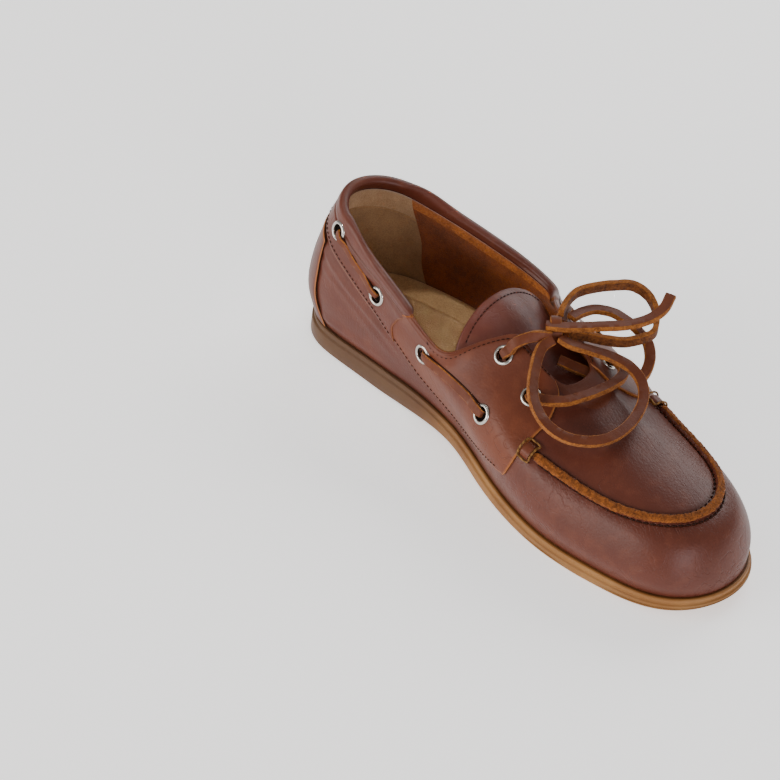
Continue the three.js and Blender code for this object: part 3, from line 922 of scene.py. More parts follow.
VAMP = GrainLeather("leather_full_grain_polished", "upper_leather", 0.4)
SADDLE = GrainLeather(
    "leather_full_grain_satin", "upper_leather", 0.42, base="#6B3722", dark="#5B2B1A",
    glow="#7F452B", shine=0.25,
)
TONGUE = GrainLeather(
    "leather_full_grain_soft", "upper_leather", 0.42, base="#612F24", dark="#52251A"
)
LACE_GRAIN = GrainLeather(
    "leather_lace_grain_face", "lace_leather", 0.5, base="#693822", dark="#592B18",
    glow="#7B452B", shine=0.2, grain_mm=0.8,
)
LACE_FLESH = NapLeather(
    "leather_lace_flesh_face", "lace_leather", 0.8, base="#80491F", dark="#3C1D0D",
    fibre_mm=1.1, patch_mm=3.0, relief_mm=0.35, sheen=0.1,
)
LACE_EDGE = NapLeather(
    "leather_lace_cut_edge", "lace_leather", 0.75, base="#A5652A", dark="#623414",
    fibre_mm=0.8, patch_mm=3.0, relief_mm=0.25, sheen=0.05,
)
RAW_EDGE = NapLeather(
    "leather_raw_cut_edge", "raw_edge_leather", 0.8, base="#925320", dark="#47230D",
    fibre_mm=0.9, patch_mm=3.5, relief_mm=0.35, sheen=0.05,
)
HEEL_SUEDE = NapLeather(
    "suede_pigskin_heel_grip", "heel_lining", 0.95, base="#AC865C", dark="#8A6743", patch_mm=14.0
)
FOOTBED_SUEDE = NapLeather(
    "suede_pigskin_footbed", "insole_suede", 0.95, base="#C9A273", dark="#A47E52", patch_mm=14.0
)
QUARTER_SUEDE = NapLeather(
    "suede_flesh_side_quarter", "quarter_lining", 0.9, base="#9A5220", dark="#6A3412",
    patch_mm=9.0,
)
# The quarter lining's top strip: its lighter tone is painted light on the lit top of the lining, and
# its coarser fibres and relief are the suede's own.
QUARTER_TOP = NapLeather(
    "suede_flesh_side_quarter_brushed_painted_light", "quarter_lining", 0.9, base="#BC6C2C", dark="#7E4216",
    fibre_mm=1.2, relief_mm=0.4,
)
GUM = GumRubber("rubber_gum_moulded", "gum_rubber", 0.48)
# Darker gum on the sole's top face, seen as a thin dark line where the upper meets the sole.
DARK_TOP_GUM = GumRubber("rubber_gum_dark_top_face", "gum_rubber", 0.6, base="#6E4620", dark="#4A2C12")
NICKEL = Nickel("nickel_plate_polished", "eyelet_nickel", 0.18)
DARK_THREAD = Thread("polyester_thread_waxed_dark", "thread_brown", 0.5)
TAN_THREAD = Thread(
    "polyester_thread_waxed_tan", "thread_tan", 0.45, base="#8E6637", dark="#5E4020", twist_mm=0.8
)
# Painted shadow: a dark brown that stands for the shadow in the gaps beside the lace, under the
# padded roll and along the heel strip.
PAINTED_SHADOW = NapLeather(
    "leather_painted_shadow", "raw_edge_leather", 0.9, base="#3A1B0D", dark="#241007", sheen=0.0
)
# The heel lining's top band above its seam: the band and seam are real, and its lighter tone is
# painted light for the light falling on the lining's top.
HEEL_TOP = NapLeather(
    "suede_pigskin_heel_band_painted_light", "heel_lining", 0.95, base="#C39E76", dark="#9F7A53", patch_mm=9.0
)
HOLE = NapLeather(
    "leather_punched_hole_shade", "raw_edge_leather", 1.0, base="#140A06", dark="#0B0503",
    sheen=0.0,
)
PAPER = Paper("paper_studio_white", "", 0.9)


# Places that the saddle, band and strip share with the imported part. Angles are shares of the
# half turn from heel to toe. The saddle's rear edge stands steeper here near the topline.
LOWER_EDGE: Table = (
    (0, 0.77), (0.08, 0.755), (0.16, 0.69), (0.245, 0.605), (0.335, 0.45), (0.395, 0.225),
    (0.45, 0.165), (0.515, 0.23), (0.56, 0.28),
)
SADDLE_REAR: Table = ((0, 0.338), (0.45, 0.338), (0.8, 0.342), (1, 0.355))
SADDLE_FRONT: Table = (
    (0.28, 0.563), (0.5, 0.596), (0.6, 0.622), (0.67, 0.635), (0.72, 0.645), (0.8, 0.655),
    (0.9, 0.682), (1, 0.7),
)
EYELET_PLACES: Table = (
    (0.17, 0.885), (0.299, 0.75), (0.398, 0.69), (0.519, 0.563), (0.512, 0.85), (0.596, 0.76),
)
SEAM_END = {Side.MEDIAL: 0.64, Side.LATERAL: 0.69}
SEAM_PITCH = 3.0
SEAM_ROW_OUT = 3.7
LEATHER_TOP = 1.0


def rise(last: Last, angle: Array, level: Array) -> Array:
    """Millimetres of surface for one unit of level."""
    ends = (last.skin(angle, np.asarray(level) + s) for s in (0.01, -0.01))
    return np.linalg.norm(next(ends) - next(ends), axis=-1) / 0.02


@dataclass
class EyeletSet:
    """Twelve nickel eyelets, and the dimples that their barrels press into the leather."""

    last: Last
    inner: float = 3.15
    outer: float = 4.75
    seat: float = LEATHER_TOP + 0.05
    depth: float = 1.2
    shoulder: float = 0.5
    reach: float = 3.0
    steps: int = 40

    def place(self, index: int, side: Side) -> tuple[Array, Array]:
        """Centre and axis of an eyelet, at the leather's surface.

        Args:
            index: The eyelet, from the heel (0) to the lower throat (5).
            side: Its side.

        Returns:
            The centre and the axis.
        """
        angle, level = EYELET_PLACES[index]
        turn = side.turn(math.pi * side.advance(angle))
        return (
            self.last.lifted(turn, level, self.seat),
            self.last.normal(turn, level),
        )

    def press(self, points: Array) -> Array:
        """Pushes the leather in where the barrels pass through it."""
        moved = points.copy()
        for side in Side:
            for index in range(len(EYELET_PLACES)):
                centre, axis = self.place(index, side)
                off = points - centre
                high = off @ axis
                radius = np.linalg.norm(off - high[..., None] * axis, axis=-1)
                share = 1 - smooth(self.inner, self.inner + self.shoulder, radius)
                share = share * (np.abs(high) < self.reach)
                moved -= self.depth * share[..., None] * axis
        return moved

    def build(self) -> None:
        """Makes the twelve rings, each with its barrel and the shade at its bottom."""
        profile = np.array(
            [
                (self.inner, -self.depth), (self.inner, 0.25), (self.inner + 0.1, 0.55),
                (self.inner + 0.35, 0.8), (self.inner + 0.75, 0.86), (self.outer - 0.45, 0.68),
                (self.outer - 0.12, 0.35), (self.outer, 0.0), (self.outer - 0.1, -0.45),
                (self.inner + 0.35, -0.5), (self.inner + 0.3, -self.depth),
            ]
        )
        steps = self.steps
        turn = circle(steps)
        for side in Side:
            for index in range(len(EYELET_PLACES)):
                centre, axis = self.place(index, side)
                one = unit(np.cross(axis, [0.0, 0.0, 1.0]))
                two = np.cross(axis, one)
                spoke = spokes(turn, one, two)
                shape = Shape().add_sweep(sections(centre, spoke, axis, profile), closed=True)
                disc = centre + (self.inner + 0.2) * spoke - (self.depth - 0.1) * axis
                floor = np.stack([disc, disc - 0.2 * axis])
                faces = [list(range(steps)), list(range(steps, 2 * steps))[::-1]]
                faces += [
                    [k, k + steps, (k + 1) % steps + steps, (k + 1) % steps] for k in range(steps)
                ]
                number = f"{side.value}_{index + 1}"
                shape.add(floor, faces, 1).dress(
                    f"ring_{number}", (NICKEL, HOLE), f"eyelet_{number}", sharp=40
                )


class Zone(IntEnum):
    """Zones of the shell, in the order of its finishes."""

    OUTSIDE = 0
    RAW = 1
    HEEL = 2
    QUARTER = 3
    QUARTER_TOP = 4
    HEEL_TOP = 5
    FACED = 6
    SHADE = 7


@dataclass
class Upper:
    """The leather shell: vamp, plug, quarters, padded collar and linings in one closed skin."""

    last: Last
    eyelets: EyeletSet
    wall: float = 1.8
    roll_out: float = 1.2
    roll_in: float = 1.7
    roll_foot: tuple[float, float] = (0.88, 0.945)
    roll_end: float = 0.353
    lateral_end: float = 0.47
    brim: float = 0.985
    skive: float = 0.8
    notch: tuple[float, float] = (0.4, 0.475)
    quarter_top: float = 0.8
    lining_rows: int = 8
    columns: int = 480
    rim_rows: int = 8
    stitch_pitch: float = SEAM_PITCH
    stitch_out: float = SEAM_ROW_OUT
    grip_column: int = 50
    grip_seam: float = 0.66
    grip_edge: Table = (
        (0, 0.226), (0.16, 0.223), (0.42, 0.219), (0.61, 0.209), (0.84, 0.187), (1, 0.172),
    )

    def roll(self, angle: Array, level: Array) -> Array:
        """Share of the padded collar's swelling."""
        end = np.where(angle < math.pi, self.roll_end, self.lateral_end)
        return smooth(-0.002, 0.006, end - from_heel(angle)) * smooth(*self.roll_foot, level)

    def run(self, angle: Array, level: float) -> Array:
        """Length around the last at a level, from the heel."""
        turn = np.linspace(0, 2 * math.pi, 721)
        return np.interp(angle, turn, reach_of(self.last.skin(turn, level)))

    def seam_share(self, angle: Array) -> Array:
        """1 where the raised seam runs, falling to 0 past its ends."""
        turns = {Side.MEDIAL: angle / math.pi, Side.LATERAL: 2 - angle / math.pi}
        ends = (smooth(SEAM_END[side] - 0.01, SEAM_END[side] + 0.02, turns[side]) for side in Side)
        return np.minimum(*ends)

    def relief(self, angle: Array, level: Array) -> Array:
        """Gathers and furrows beside the raised seam, in millimetres over the last."""
        out = (self.last.seam(angle) - level) * rise(self.last, angle, self.last.seam_level)
        run = self.run(angle, 0.55)
        gather = 0.5 + 0.5 * np.cos(2 * math.pi * run / self.stitch_pitch)
        bead = 0.35 * hump(out, 2.6, 0.55)
        furrow = -(0.3 + 0.15 * gather) * hump(out, self.stitch_out, 0.55)
        fan = -0.16 * gather * hump(np.maximum(out - self.stitch_out, 0), 0, 3.0) * (out > 1)
        inside = -0.35 * hump(out, -2.3, 0.7)
        return self.seam_share(angle) * (bead + furrow + fan + inside) + self.folds(angle, level)

    def folds(self, angle: Array, level: Array) -> Array:
        """Soft folds of the quarter under the band, and its bulge over the heel end of the sole."""
        share = from_heel(angle)
        scale = rise(self.last, angle, level)
        under = (read(LOWER_EDGE, 1, share) - level) * scale
        along = smooth(0.1, 0.16, share) * smooth(0.36, 0.3, share)
        pulled = 0.55 * hump(under, 6.5, 2.2) - 0.3 * hump(under, 2, 1.6)
        second = 0.3 * hump(under, 14, 2.6)
        beside = smooth(0.12, 0.18, share) * smooth(0.34, 0.26, share)
        bulge = 0.8 * hump(level * scale, 5, 3.0) * beside
        return along * (pulled + second) + bulge

    def build(self) -> None:
        """Makes the shell."""
        angle = circle(self.columns)
        levels = np.concatenate(
            [
                np.linspace(0, 0.52, 26)[:-1],
                np.linspace(0.52, 0.66, 30)[:-1],
                np.linspace(0.66, 0.885, 14)[:-1],
                np.linspace(0.885, self.brim, 16),
            ]
        )
        a, v = np.meshgrid(angle, levels)
        swell = self.roll(a, v)
        outer = self.last.lifted(a, v, self.roll_out * swell + self.relief(a, v))
        outer = self.eyelets.press(outer)
        down = np.concatenate(
            [
                np.linspace(self.brim, 0.885, 14), np.linspace(0.86, 0.7, 6),
                np.linspace(0.68, 0.64, 9), np.linspace(0.61, 0.02, 18),
            ]
        )
        b, w = np.meshgrid(angle, down)
        fold = from_heel(b)
        grip = 2 * self.grip_column / self.columns
        pull = (read(self.grip_edge, 1, w) - grip) * hump(fold, grip, 0.05)
        b = b + np.where(b < math.pi, 1, -1) * math.pi * pull
        skived = self.skive * smooth(0.92, self.brim, w) * smooth(-0.01, 0.03, fold - self.roll_end)
        fold_line = 0.5 * hump(w, self.grip_seam, 0.006)
        heelward = smooth(grip + 0.01, grip - 0.01, fold)
        depth = self.wall + self.roll_in * self.roll(b, w) - fold_line * heelward
        inner = self.last.lifted(b, w, skived - depth)
        foot = self.last.outline(angle, np.full(self.columns, -self.wall), 0.0)
        foot[:, 2] = self.last.sole_top(foot[:, 0]) + self.last.gap
        top, under = outer[-1], inner[0]
        up = unit(self.last.skin(angle, 0.99) - self.last.skin(angle, 0.96))
        half = (top - under) / 2
        turn = np.linspace(0, math.pi, self.rim_rows + 2)[1:-1, None, None]
        tall = 0.85 * np.linalg.norm(half, axis=-1, keepdims=True)
        rim = (top + under) / 2 + half * np.cos(turn) + up * tall * np.sin(turn)
        rows = np.concatenate([outer, rim, inner, foot[None]])
        cells = quads(len(rows), self.columns, True)
        base = (len(rows) - 1) * self.columns
        near = np.arange(self.columns)
        after = (near + 1) % self.columns
        closing = np.stack([after, near, base + near, base + after], -1)
        row = np.repeat(np.arange(len(rows) - 1), self.columns)
        column = np.tile(np.arange(self.columns), len(rows) - 1)
        share = from_heel(angle)[column]
        level_of = np.concatenate([levels, np.full(self.rim_rows, 1.0), down, [0.0]])[row]
        tag = np.zeros(len(cells), int)
        inside = len(levels) + self.rim_rows
        medial = angle[column] < math.pi
        bare = share > np.where(medial, self.roll_end, self.lateral_end)
        lined = row >= np.where(bare, inside - 1, inside + self.lining_rows)
        tag[lined] = Zone.QUARTER
        # The lining's top strip takes a lighter copy of its suede, painted light for its lit top.
        tag[lined & (level_of > self.quarter_top)] = Zone.QUARTER_TOP
        heelward = lined & (np.minimum(column, self.columns - 1 - column) < self.grip_column)
        tag[heelward] = Zone.HEEL
        # The heel lining's top band takes a lighter copy of its suede, partly painted light for its
        # lit top.
        tag[heelward & (level_of > self.grip_seam)] = Zone.HEEL_TOP
        high = (level_of > 0.9) & ~lined
        tag[bare & high] = Zone.FACED
        notch = bare & (share > self.notch[0]) & (share < self.notch[1])
        raw = np.where(notch, inside - self.rim_rows + 2, inside - self.rim_rows // 2)
        tag[bare & (row >= raw) & ~lined] = Zone.RAW
        tag[high & medial & (np.abs(share - self.roll_end) < 1.2 / self.columns)] = Zone.RAW
        # Painted shadow: the lowest rows inside the padded roll are dark, for the shadow line
        # between the roll and the lining.
        tag[~bare & ~lined & (row >= inside + self.lining_rows - 2)] = Zone.SHADE
        faces = np.concatenate([cells, closing])
        flow, crease = self.creases(a, v, len(rows))
        Shape().add(rows, faces, np.pad(tag, (0, len(closing)))).dress(
            "upper_shell",
            (VAMP, RAW_EDGE, HEEL_SUEDE, QUARTER_SUEDE, QUARTER_TOP, HEEL_TOP, SADDLE, PAINTED_SHADOW),
            "upper", flow=flow, crease=crease,
        )

    def creases(self, angle: Array, level: Array, rows: int) -> tuple[Array, Array]:
        """Directions and strength of the fine creases.

        Args:
            angle: Angles of the outer grid.
            level: Levels of the outer grid.
            rows: Rows of the whole shell, whose other rows have no creases.

        Returns:
            The pattern coordinates and the strengths, flat, one for each point.
        """
        point = self.last.skin(angle, level)
        run = self.run(angle, 0.5)
        tall = level * self.last.back_height
        side = np.stack([run / 2.4, tall / 11.0, np.zeros_like(run)], -1)
        across = point[..., 1] + 0.25 * (point[..., 0] - 190)
        plug = np.stack([across / 3.4, point[..., 0] / 22.0, np.full_like(run, 7.0)], -1)
        inside = (level > self.last.seam_level)[..., None]
        flow = np.where(inside, plug, side)
        out = (self.last.seam_level - level) * self.last.back_height
        share = from_heel(angle)
        front = smooth(0.55, 0.66, share)
        low = front * 0.85 * hump(out, 0, 9.0)
        waist = 0.7 * hump(share, 0.5, 0.1) * smooth(0.45, 0.3, level)
        back = 0.35 * smooth(0.2, 0.3, share) * smooth(0.42, 0.3, share) * smooth(0.1, 0.3, level)
        toeward = smooth(150, 185, point[..., 0])
        far = smooth(-22, 8, point[..., 1])
        top = toeward * (0.1 + 0.25 * far)
        crease = np.where(inside[..., 0], top, np.clip(low + waist + back + 0.06, 0, 1))
        more = (0, rows - len(flow))
        whole = np.pad(flow, (more, (0, 0), (0, 0)))
        return whole.reshape(-1, 3), np.pad(crease, (more, (0, 0))).ravel()


@dataclass
class Overlay:
    """A patch of leather laid on the shell, with a cut edge."""

    last: Last
    eyelets: EyeletSet
    name: str
    node: str
    place: Callable[[Array, Array], tuple[Array, Array]]
    columns: int
    rows: int
    finish: GrainLeather
    base: float = -0.35
    top: float = LEATHER_TOP
    bevel: float = 0.7
    wear: float = 0.55
    tuck: float = 0.0
    tuck_from: float = 0.85
    turned: bool = False
    rise: Callable[[Array], Array] | None = None
    cut: NapLeather = RAW_EDGE

    def build(self) -> None:
        """Makes the patch."""
        u, w = np.meshgrid(np.linspace(0, 1, self.columns), np.linspace(0, 1, self.rows))
        angle, level = self.place(u, w)
        low = self.last.lifted(angle, level, np.full(angle.shape, self.base))
        mid = self.last.skin(angle, level)
        across = np.linalg.norm(np.diff(mid, axis=1), axis=-1)
        down = np.linalg.norm(np.diff(mid, axis=0), axis=-1)
        left = np.pad(np.cumsum(across, axis=1), ((0, 0), (1, 0)))
        above = np.pad(np.cumsum(down, axis=0), ((1, 0), (0, 0)))
        below = above[-1:] - above + (99.0 if self.turned else 0.0)
        edge = np.minimum.reduce([left, left[:, -1:] - left, above, below])
        rounded = 0.35 * (1 - smooth(0, self.bevel, edge))
        lift = self.top - rounded - self.tuck * smooth(self.tuck_from, 1, w)
        if self.rise:
            lift = lift + self.rise(u)
        high = self.last.lifted(angle, level, lift)
        top = self.rows + self.columns - 1
        rim = np.ones(2 * (self.rows + self.columns) - 4, int)
        rim[top : top + self.columns - 1] = 0 if self.turned else 1
        wear = self.wear * (1 - smooth(0.35, 0.75, edge))
        Shape().add_sheet(self.eyelets.press(high), self.eyelets.press(low), (0, 1, rim)).dress(
            self.name, (self.finish, self.cut), self.node, sharp=50,
            wear=np.tile(wear.ravel(), 2),
        )


@dataclass
class Overlays:
    """The two saddles, the collar band and the heel strip."""

    last: Last
    eyelets: EyeletSet
    saddle_top: float = 0.98
    band_top: float = 0.93
    step: float = 0.9
    strip_top: float = 0.142
    strip_foot: float = 0.176
    strip_tuck: float = 0.045
    strip_base: float = 0.005

    def saddle(self, side: Side) -> Callable[[Array, Array], tuple[Array, Array]]:
        """Gives the place function of a saddle."""

        def place(u: Array, w: Array) -> tuple[Array, Array]:
            """Angle and level at shares along and up the saddle."""
            rear = read(SADDLE_REAR, 1, w)
            low = SADDLE_FRONT[0][0]
            front = read(SADDLE_FRONT, 1, low + w * (self.saddle_top - low))
            angle = rear + u * (front - rear)
            floor = read(LOWER_EDGE, 1, angle)
            level = floor + w * (self.saddle_top - floor)
            return side.turn(math.pi * side.advance(angle)), level

        return place

    def band(self, u: Array, w: Array) -> tuple[Array, Array]:
        """Angle and level at shares along and up the collar band."""
        reach = read(SADDLE_REAR, 1, 0.93 * w) + 0.006
        angle = (2 * u - 1) * reach
        floor = read(LOWER_EDGE, 1, np.abs(angle))
        return math.pi * angle, floor + w * (self.band_top - floor)

    def strip(self, u: Array, w: Array) -> tuple[Array, Array]:
        """Angle and level at shares across and up the heel strip."""
        reach = self.strip_foot + w * (self.strip_top - self.strip_foot)
        angle = (2 * u - 1) * reach
        top = read(LOWER_EDGE, 1, np.abs(angle)) - self.strip_tuck
        return math.pi * angle, self.strip_base + w * (top - self.strip_base)

    def over_saddle(self, u: Array) -> Array:
        """How much the band stands up where its ends lie over the saddles."""
        return self.step * (1 - smooth(0.0, 0.06, np.minimum(u, 1 - u)))

    def build(self) -> None:
        """Makes the four patches."""
        # The heel strip's rim takes the painted shadow, for the dark gap along its edge.
        Overlay(
            self.last, self.eyelets, "strip_heel", "heel_strip", self.strip, 70, 60, VAMP,
            top=LEATHER_TOP + 0.5, wear=0.95, cut=PAINTED_SHADOW,
        ).build()
        Overlay(
            self.last, self.eyelets, "band_collar", "collar_band", self.band, 360, 30, VAMP,
            top=LEATHER_TOP - 0.1, wear=0.3, tuck=1.4, turned=True, rise=self.over_saddle,
        ).build()
        for side in Side:
            Overlay(
                self.last, self.eyelets, f"wing_{side.value}", f"saddle_{side.value}",
                self.saddle(side), 150, 110, SADDLE, top=LEATHER_TOP + 0.15, wear=0.8,
                tuck=0.9, tuck_from=0.94, turned=True,
            ).build()


@dataclass
class Seam:
    """The raised moccasin seam around the toe, with the thread keepers at its ends."""

    last: Last
    rings: int = 460
    bulk: float = 1.12
    wander: float = 0.24
    thread: float = 0.45
    section: Table = (
        (-1.5, -0.7), (-1.8, 0.5), (-1.75, 1.3), (-1.35, 1.95), (-0.7, 2.2), (0.0, 2.12),
        (0.7, 2.25), (1.3, 2.1), (1.65, 1.5), (1.75, 0.7), (1.6, -0.7),
    )
    tags: Sequence[int] = (1, 1, 0, 0, 0, 0, 0, 0, 1, 1, 1)

    def frame(self, angle: Array) -> tuple[Array, Array, Array, Array]:
        """Centre, direction, inward side and outward normal of the seam at angles."""
        level = self.last.seam(angle)
        centre = self.last.skin(angle, level)
        ahead = unit(
            self.last.skin(angle + 0.02, self.last.seam(angle + 0.02))
            - self.last.skin(angle - 0.02, self.last.seam(angle - 0.02))
        )
        up = self.last.normal(angle, level)
        side = unit(np.cross(up, ahead))
        return centre, ahead, side, np.cross(ahead, side)

    def angles(self, count: int) -> Array:
        """Angles from one end of the seam to the other, even by length."""
        ends = (math.pi * SEAM_END[Side.MEDIAL], math.pi * (2 - SEAM_END[Side.LATERAL]))
        fine = np.linspace(*ends, 1200)
        line = self.last.skin(fine, self.last.seam(fine))
        reach = reach_of(line)
        return np.interp(np.linspace(0, reach[-1], count), reach, fine)

    def build(self) -> None:
        """Makes the ridge and the two keepers."""
        angle = self.angles(self.rings)
        centre, _, side, up = self.frame(angle)
        section = np.array(self.section)
        rough = unevenness(7, self.rings, len(section))
        share = np.linspace(0, 1, self.rings)
        taper = smooth(0, 0.012, share) * smooth(0, 0.012, 1 - share)
        shaped = section[None] * self.bulk + self.wander * rough
        shaped = shaped * (0.55 + 0.45 * taper)[:, None, None]
        Shape().add_sweep(sections(centre, side, up, shaped), np.array(self.tags)).dress(
            "seam_raised", (RAW_EDGE, VAMP), "seam_ridge", sharp=45
        )
        for side_name in Side:
            self.keeper(side_name)

    def keeper(self, which: Side) -> None:
        """Makes the leather tab over one end of the seam, and its square of thread."""
        angle = np.array(which.turn(math.pi * (SEAM_END[which] - 0.01)))
        centre, ahead, side, up = self.frame(angle)
        toeward = ahead if which is Side.MEDIAL else -ahead
        u, w = np.meshgrid(np.linspace(-1, 1, 15), np.linspace(-1, 1, 21))
        over = 2.75 - 2.3 * np.abs(w) ** 3
        sheet = (
            centre
            + (2.2 * u)[..., None] * toeward
            + (4.0 * w)[..., None] * side
            + over[..., None] * up
        )
        Shape().add_sheet(sheet, sheet - 1.0 * up, (0, 1, 1)).dress(
            f"tab_{which.value}", (SADDLE, RAW_EDGE), sharp=45
        )
        corner = np.array(
            [
                (-2.6, -3.6, 0.9), (-2.7, -2.0, 2.6), (-2.7, 0.0, 3.35), (-2.7, 2.0, 2.9),
                (-2.6, 3.6, 1.1), (0.0, 3.9, 1.2), (2.6, 3.6, 1.1), (2.7, 2.0, 2.7),
                (2.7, 0.0, 3.1), (2.7, -2.0, 2.6), (2.6, -3.6, 0.9), (0.0, -3.9, 0.9),
            ]
        )
        loop = centre + (corner * (1.2, 1.2, 1.05)) @ np.stack([toeward, side, up])
        closed = np.concatenate([loop, loop[:1]])
        path = along_path(closed, 61)[:-1]
        rings = tube(path, self.thread, 8, True)
        Shape().add_sweep(rings, closed=True).dress(f"keeper_{which.value}", (TAN_THREAD,))


def tube(path: Array, radius: float | Array, around: int = 8, closed: bool = False) -> Array:
    """Rings of a round tube along a path.

    Args:
        path: The path's points.
        radius: The tube's radius, one number or one for each point.
        around: Points in each ring.
        closed: Whether the path joins itself.

    Returns:
        The rings.
    """
    if closed:
        ahead = unit(np.roll(path, -1, 0) - np.roll(path, 1, 0))
    else:
        ahead = unit(np.gradient(path, axis=0))
    hint = np.array([0.0, 0.0, 1.0])
    flat = np.abs(ahead @ hint)[:, None] > 0.94
    one = unit(np.cross(ahead, np.where(flat, np.array([1.0, 0.0, 0.0]), hint)))
    two = np.cross(ahead, one)
    size = np.reshape(np.broadcast_to(radius, len(path)), (-1, 1, 1))
    return path[:, None] + size * spokes(circle(around), one, two)


@dataclass
class StitchLine:
    """A row of stitches along a path on leather."""

    name: str
    path: Array
    normal: Array
    pitch: float = 2.3
    length: float = 1.7
    radius: float = 0.27
    sink: float = 0.12
    bow: float = 0.32
    finish: Thread = DARK_THREAD

    def build(self) -> None:
        """Makes each stitch as a short thread whose ends go into the leather."""
        reach = reach_of(self.path)
        shape = Shape()
        start = np.arange(0.5 * self.pitch, reach[-1] - self.pitch, self.pitch)
        share = np.linspace(0, 1, 6)
        dive = np.sin(math.pi * share)
        for begin in start:
            place = begin + share * self.length
            line, up = (between(place, reach, rows) for rows in (self.path, self.normal))
            line = line + up * (self.bow * dive - self.sink)[:, None]
            shape.add_sweep(tube(line, self.radius * (0.6 + 0.4 * dive), 6))
        shape.dress(self.name, (self.finish,))


@dataclass
class Stitching:
    """Every stitched row on the shoe."""

    last: Last
    overlays: Overlays
    seam: Seam
    low_in: float = 1.9
    top_in: float = 2.0

    def row(
        self, name: str, angle: Array, level: Array, height: float | Array, **sizes: float
    ) -> None:
        """Makes a row on the last.

        Args:
            name: The piece's name.
            angle: Angles around the shoe.
            level: Levels.
            height: Height of the leather over the last.
            **sizes: Sizes of the stitches that differ from the usual.
        """
        path = self.last.lifted(angle, level, np.broadcast_to(height, np.shape(angle)))
        StitchLine(name, path, self.last.normal(angle, level), **sizes).build()

    def build(self) -> None:
        """Makes the rows."""
        share = np.linspace(-0.34, 0.34, 400)
        angle = math.pi * share
        level = read(LOWER_EDGE, 1, np.abs(share))
        level = level + self.low_in / rise(self.last, angle, level)
        high = LEATHER_TOP - 0.1 + self.overlays.over_saddle((share / 0.344 + 1) / 2)
        self.row("stitches_band", angle, level, high, radius=0.22)
        for side in Side:
            place = self.overlays.saddle(side)
            line = np.linspace(0.02, 0.975, 200)
            angle, level = place(line, np.zeros(200))
            level = level + self.low_in / rise(self.last, angle, level)
            self.row(f"stitches_low_{side.value}", angle, level, LEATHER_TOP + 0.15, radius=0.2)
            line = np.linspace(0.105, 0.985, 240)
            angle, level = place(line, np.ones(240))
            curl = 0.25 + 0.75 * smooth(0.105, 0.14, line)
            level = level - self.top_in * curl / rise(self.last, angle, level)
            self.row(f"stitches_top_{side.value}", angle, level, LEATHER_TOP - 0.1)
        angle = self.seam.angles(500)
        scale = rise(self.last, angle, np.full(500, self.last.seam_level))
        for name, out, length, radius, sink in (
            ("outer", -SEAM_ROW_OUT, 2.5, 0.42, 0.2), ("inner", 2.4, 1.3, 0.4, 0.15)
        ):
            level = self.last.seam(angle) + out / scale
            self.row(
                f"stitches_seam_{name}", angle, level, 0.0, pitch=SEAM_PITCH, length=length,
                radius=radius, sink=sink,
            )


@dataclass
class Tongue:
    """The tongue: a soft sheet of leather with a turned and stitched rear edge."""

    last: Last
    line: Table = (
        (0.371, 0.88, 0.61, 0.215), (0.4, 0.87, 0.56, 0.22), (0.43, 0.845, 0.485, 0.19),
        (0.47, 0.785, 0.445, 0.13),
        (0.524, 0.715, 0.44, 0.1), (0.584, 0.685, 0.42, 0.075), (0.65, 0.659, 0.4, 0.06),
    )
    shift: float = -3.0
    corner: float = 5.0
    row_in: float = 3.9
    thick: float = 2.2
    columns: int = 110
    rows: int = 90

    def point(self, u: Array, w: Array, lower: Array) -> Array:
        """Points of the sheet.

        Args:
            u: Shares from the rear edge to the front.
            w: Shares across, from -1 to 1.
            lower: Depth under the top face.

        Returns:
            The points.
        """
        rear, front = (self.last.setback + self.last.length * self.line[k][0] for k in (0, -1))
        rear = rear + self.corner * np.abs(w) ** 3
        x = rear + u * (front - rear)
        place = self.last.share(x)
        half = self.last.half_width * read(self.line, 2, place)
        droop = self.last.back_height * read(self.line, 3, place)
        slant = 2 * droop * w / half
        normal = unit(np.stack([np.zeros_like(x), slant, np.ones_like(x)], -1))
        y = self.last.swing(x) + self.shift * (1 - u) + half * w
        z = self.last.back_height * read(self.line, 1, place) - droop * w**2
        return np.stack([x, y, z], -1) - normal * lower[..., None]

    def build(self) -> None:
        """Makes the sheet and its row of stitches."""
        u, w = np.meshgrid(np.linspace(0, 1, self.columns) ** 1.3, np.linspace(-1, 1, self.rows))
        flat = self.point(u, w, np.zeros(u.shape))
        rear = self.point(np.zeros(u.shape), w, np.zeros(u.shape))
        from_rear = np.linalg.norm(flat - rear, axis=-1)
        side = (1 - np.abs(w)) * self.last.half_width * 0.5
        edge = np.minimum(from_rear, side)
        groove = 0.22 * hump(edge, self.row_in, 0.5)
        top = self.point(u, w, 0.1 + 0.55 * (1 - smooth(0, 1.1, edge)) + groove)
        low = self.point(u, w, self.thick - 0.45 * (1 - smooth(0, 1.1, edge)))
        x, y = flat[..., 0], flat[..., 1]
        flow = np.stack([x / 9.0, y / 2.6, np.full(x.shape, 3.0)], -1)
        crease = 0.2 * smooth(self.row_in, 9.0, edge)
        Shape().add_sheet(top, low, (0, 1, 0)).dress(
            "tongue_soft", (TONGUE, QUARTER_SUEDE), "tongue",
            flow=np.tile(flow.reshape(-1, 3), (2, 1)), crease=np.tile(crease.ravel(), 2),
        )
        w = np.linspace(-0.86, 0.86, 240)
        whole = self.point(np.zeros(240), w, np.zeros(240))
        ahead = self.point(np.full(240, 0.04), w, np.zeros(240))
        path = whole + unit(ahead - whole) * self.row_in
        up = unit(np.cross(np.gradient(path, axis=0), unit(ahead - whole)))
        up *= np.sign(up[:, 2:])
        StitchLine("stitches_tongue", path - 0.25 * up, up, pitch=2.2).build()


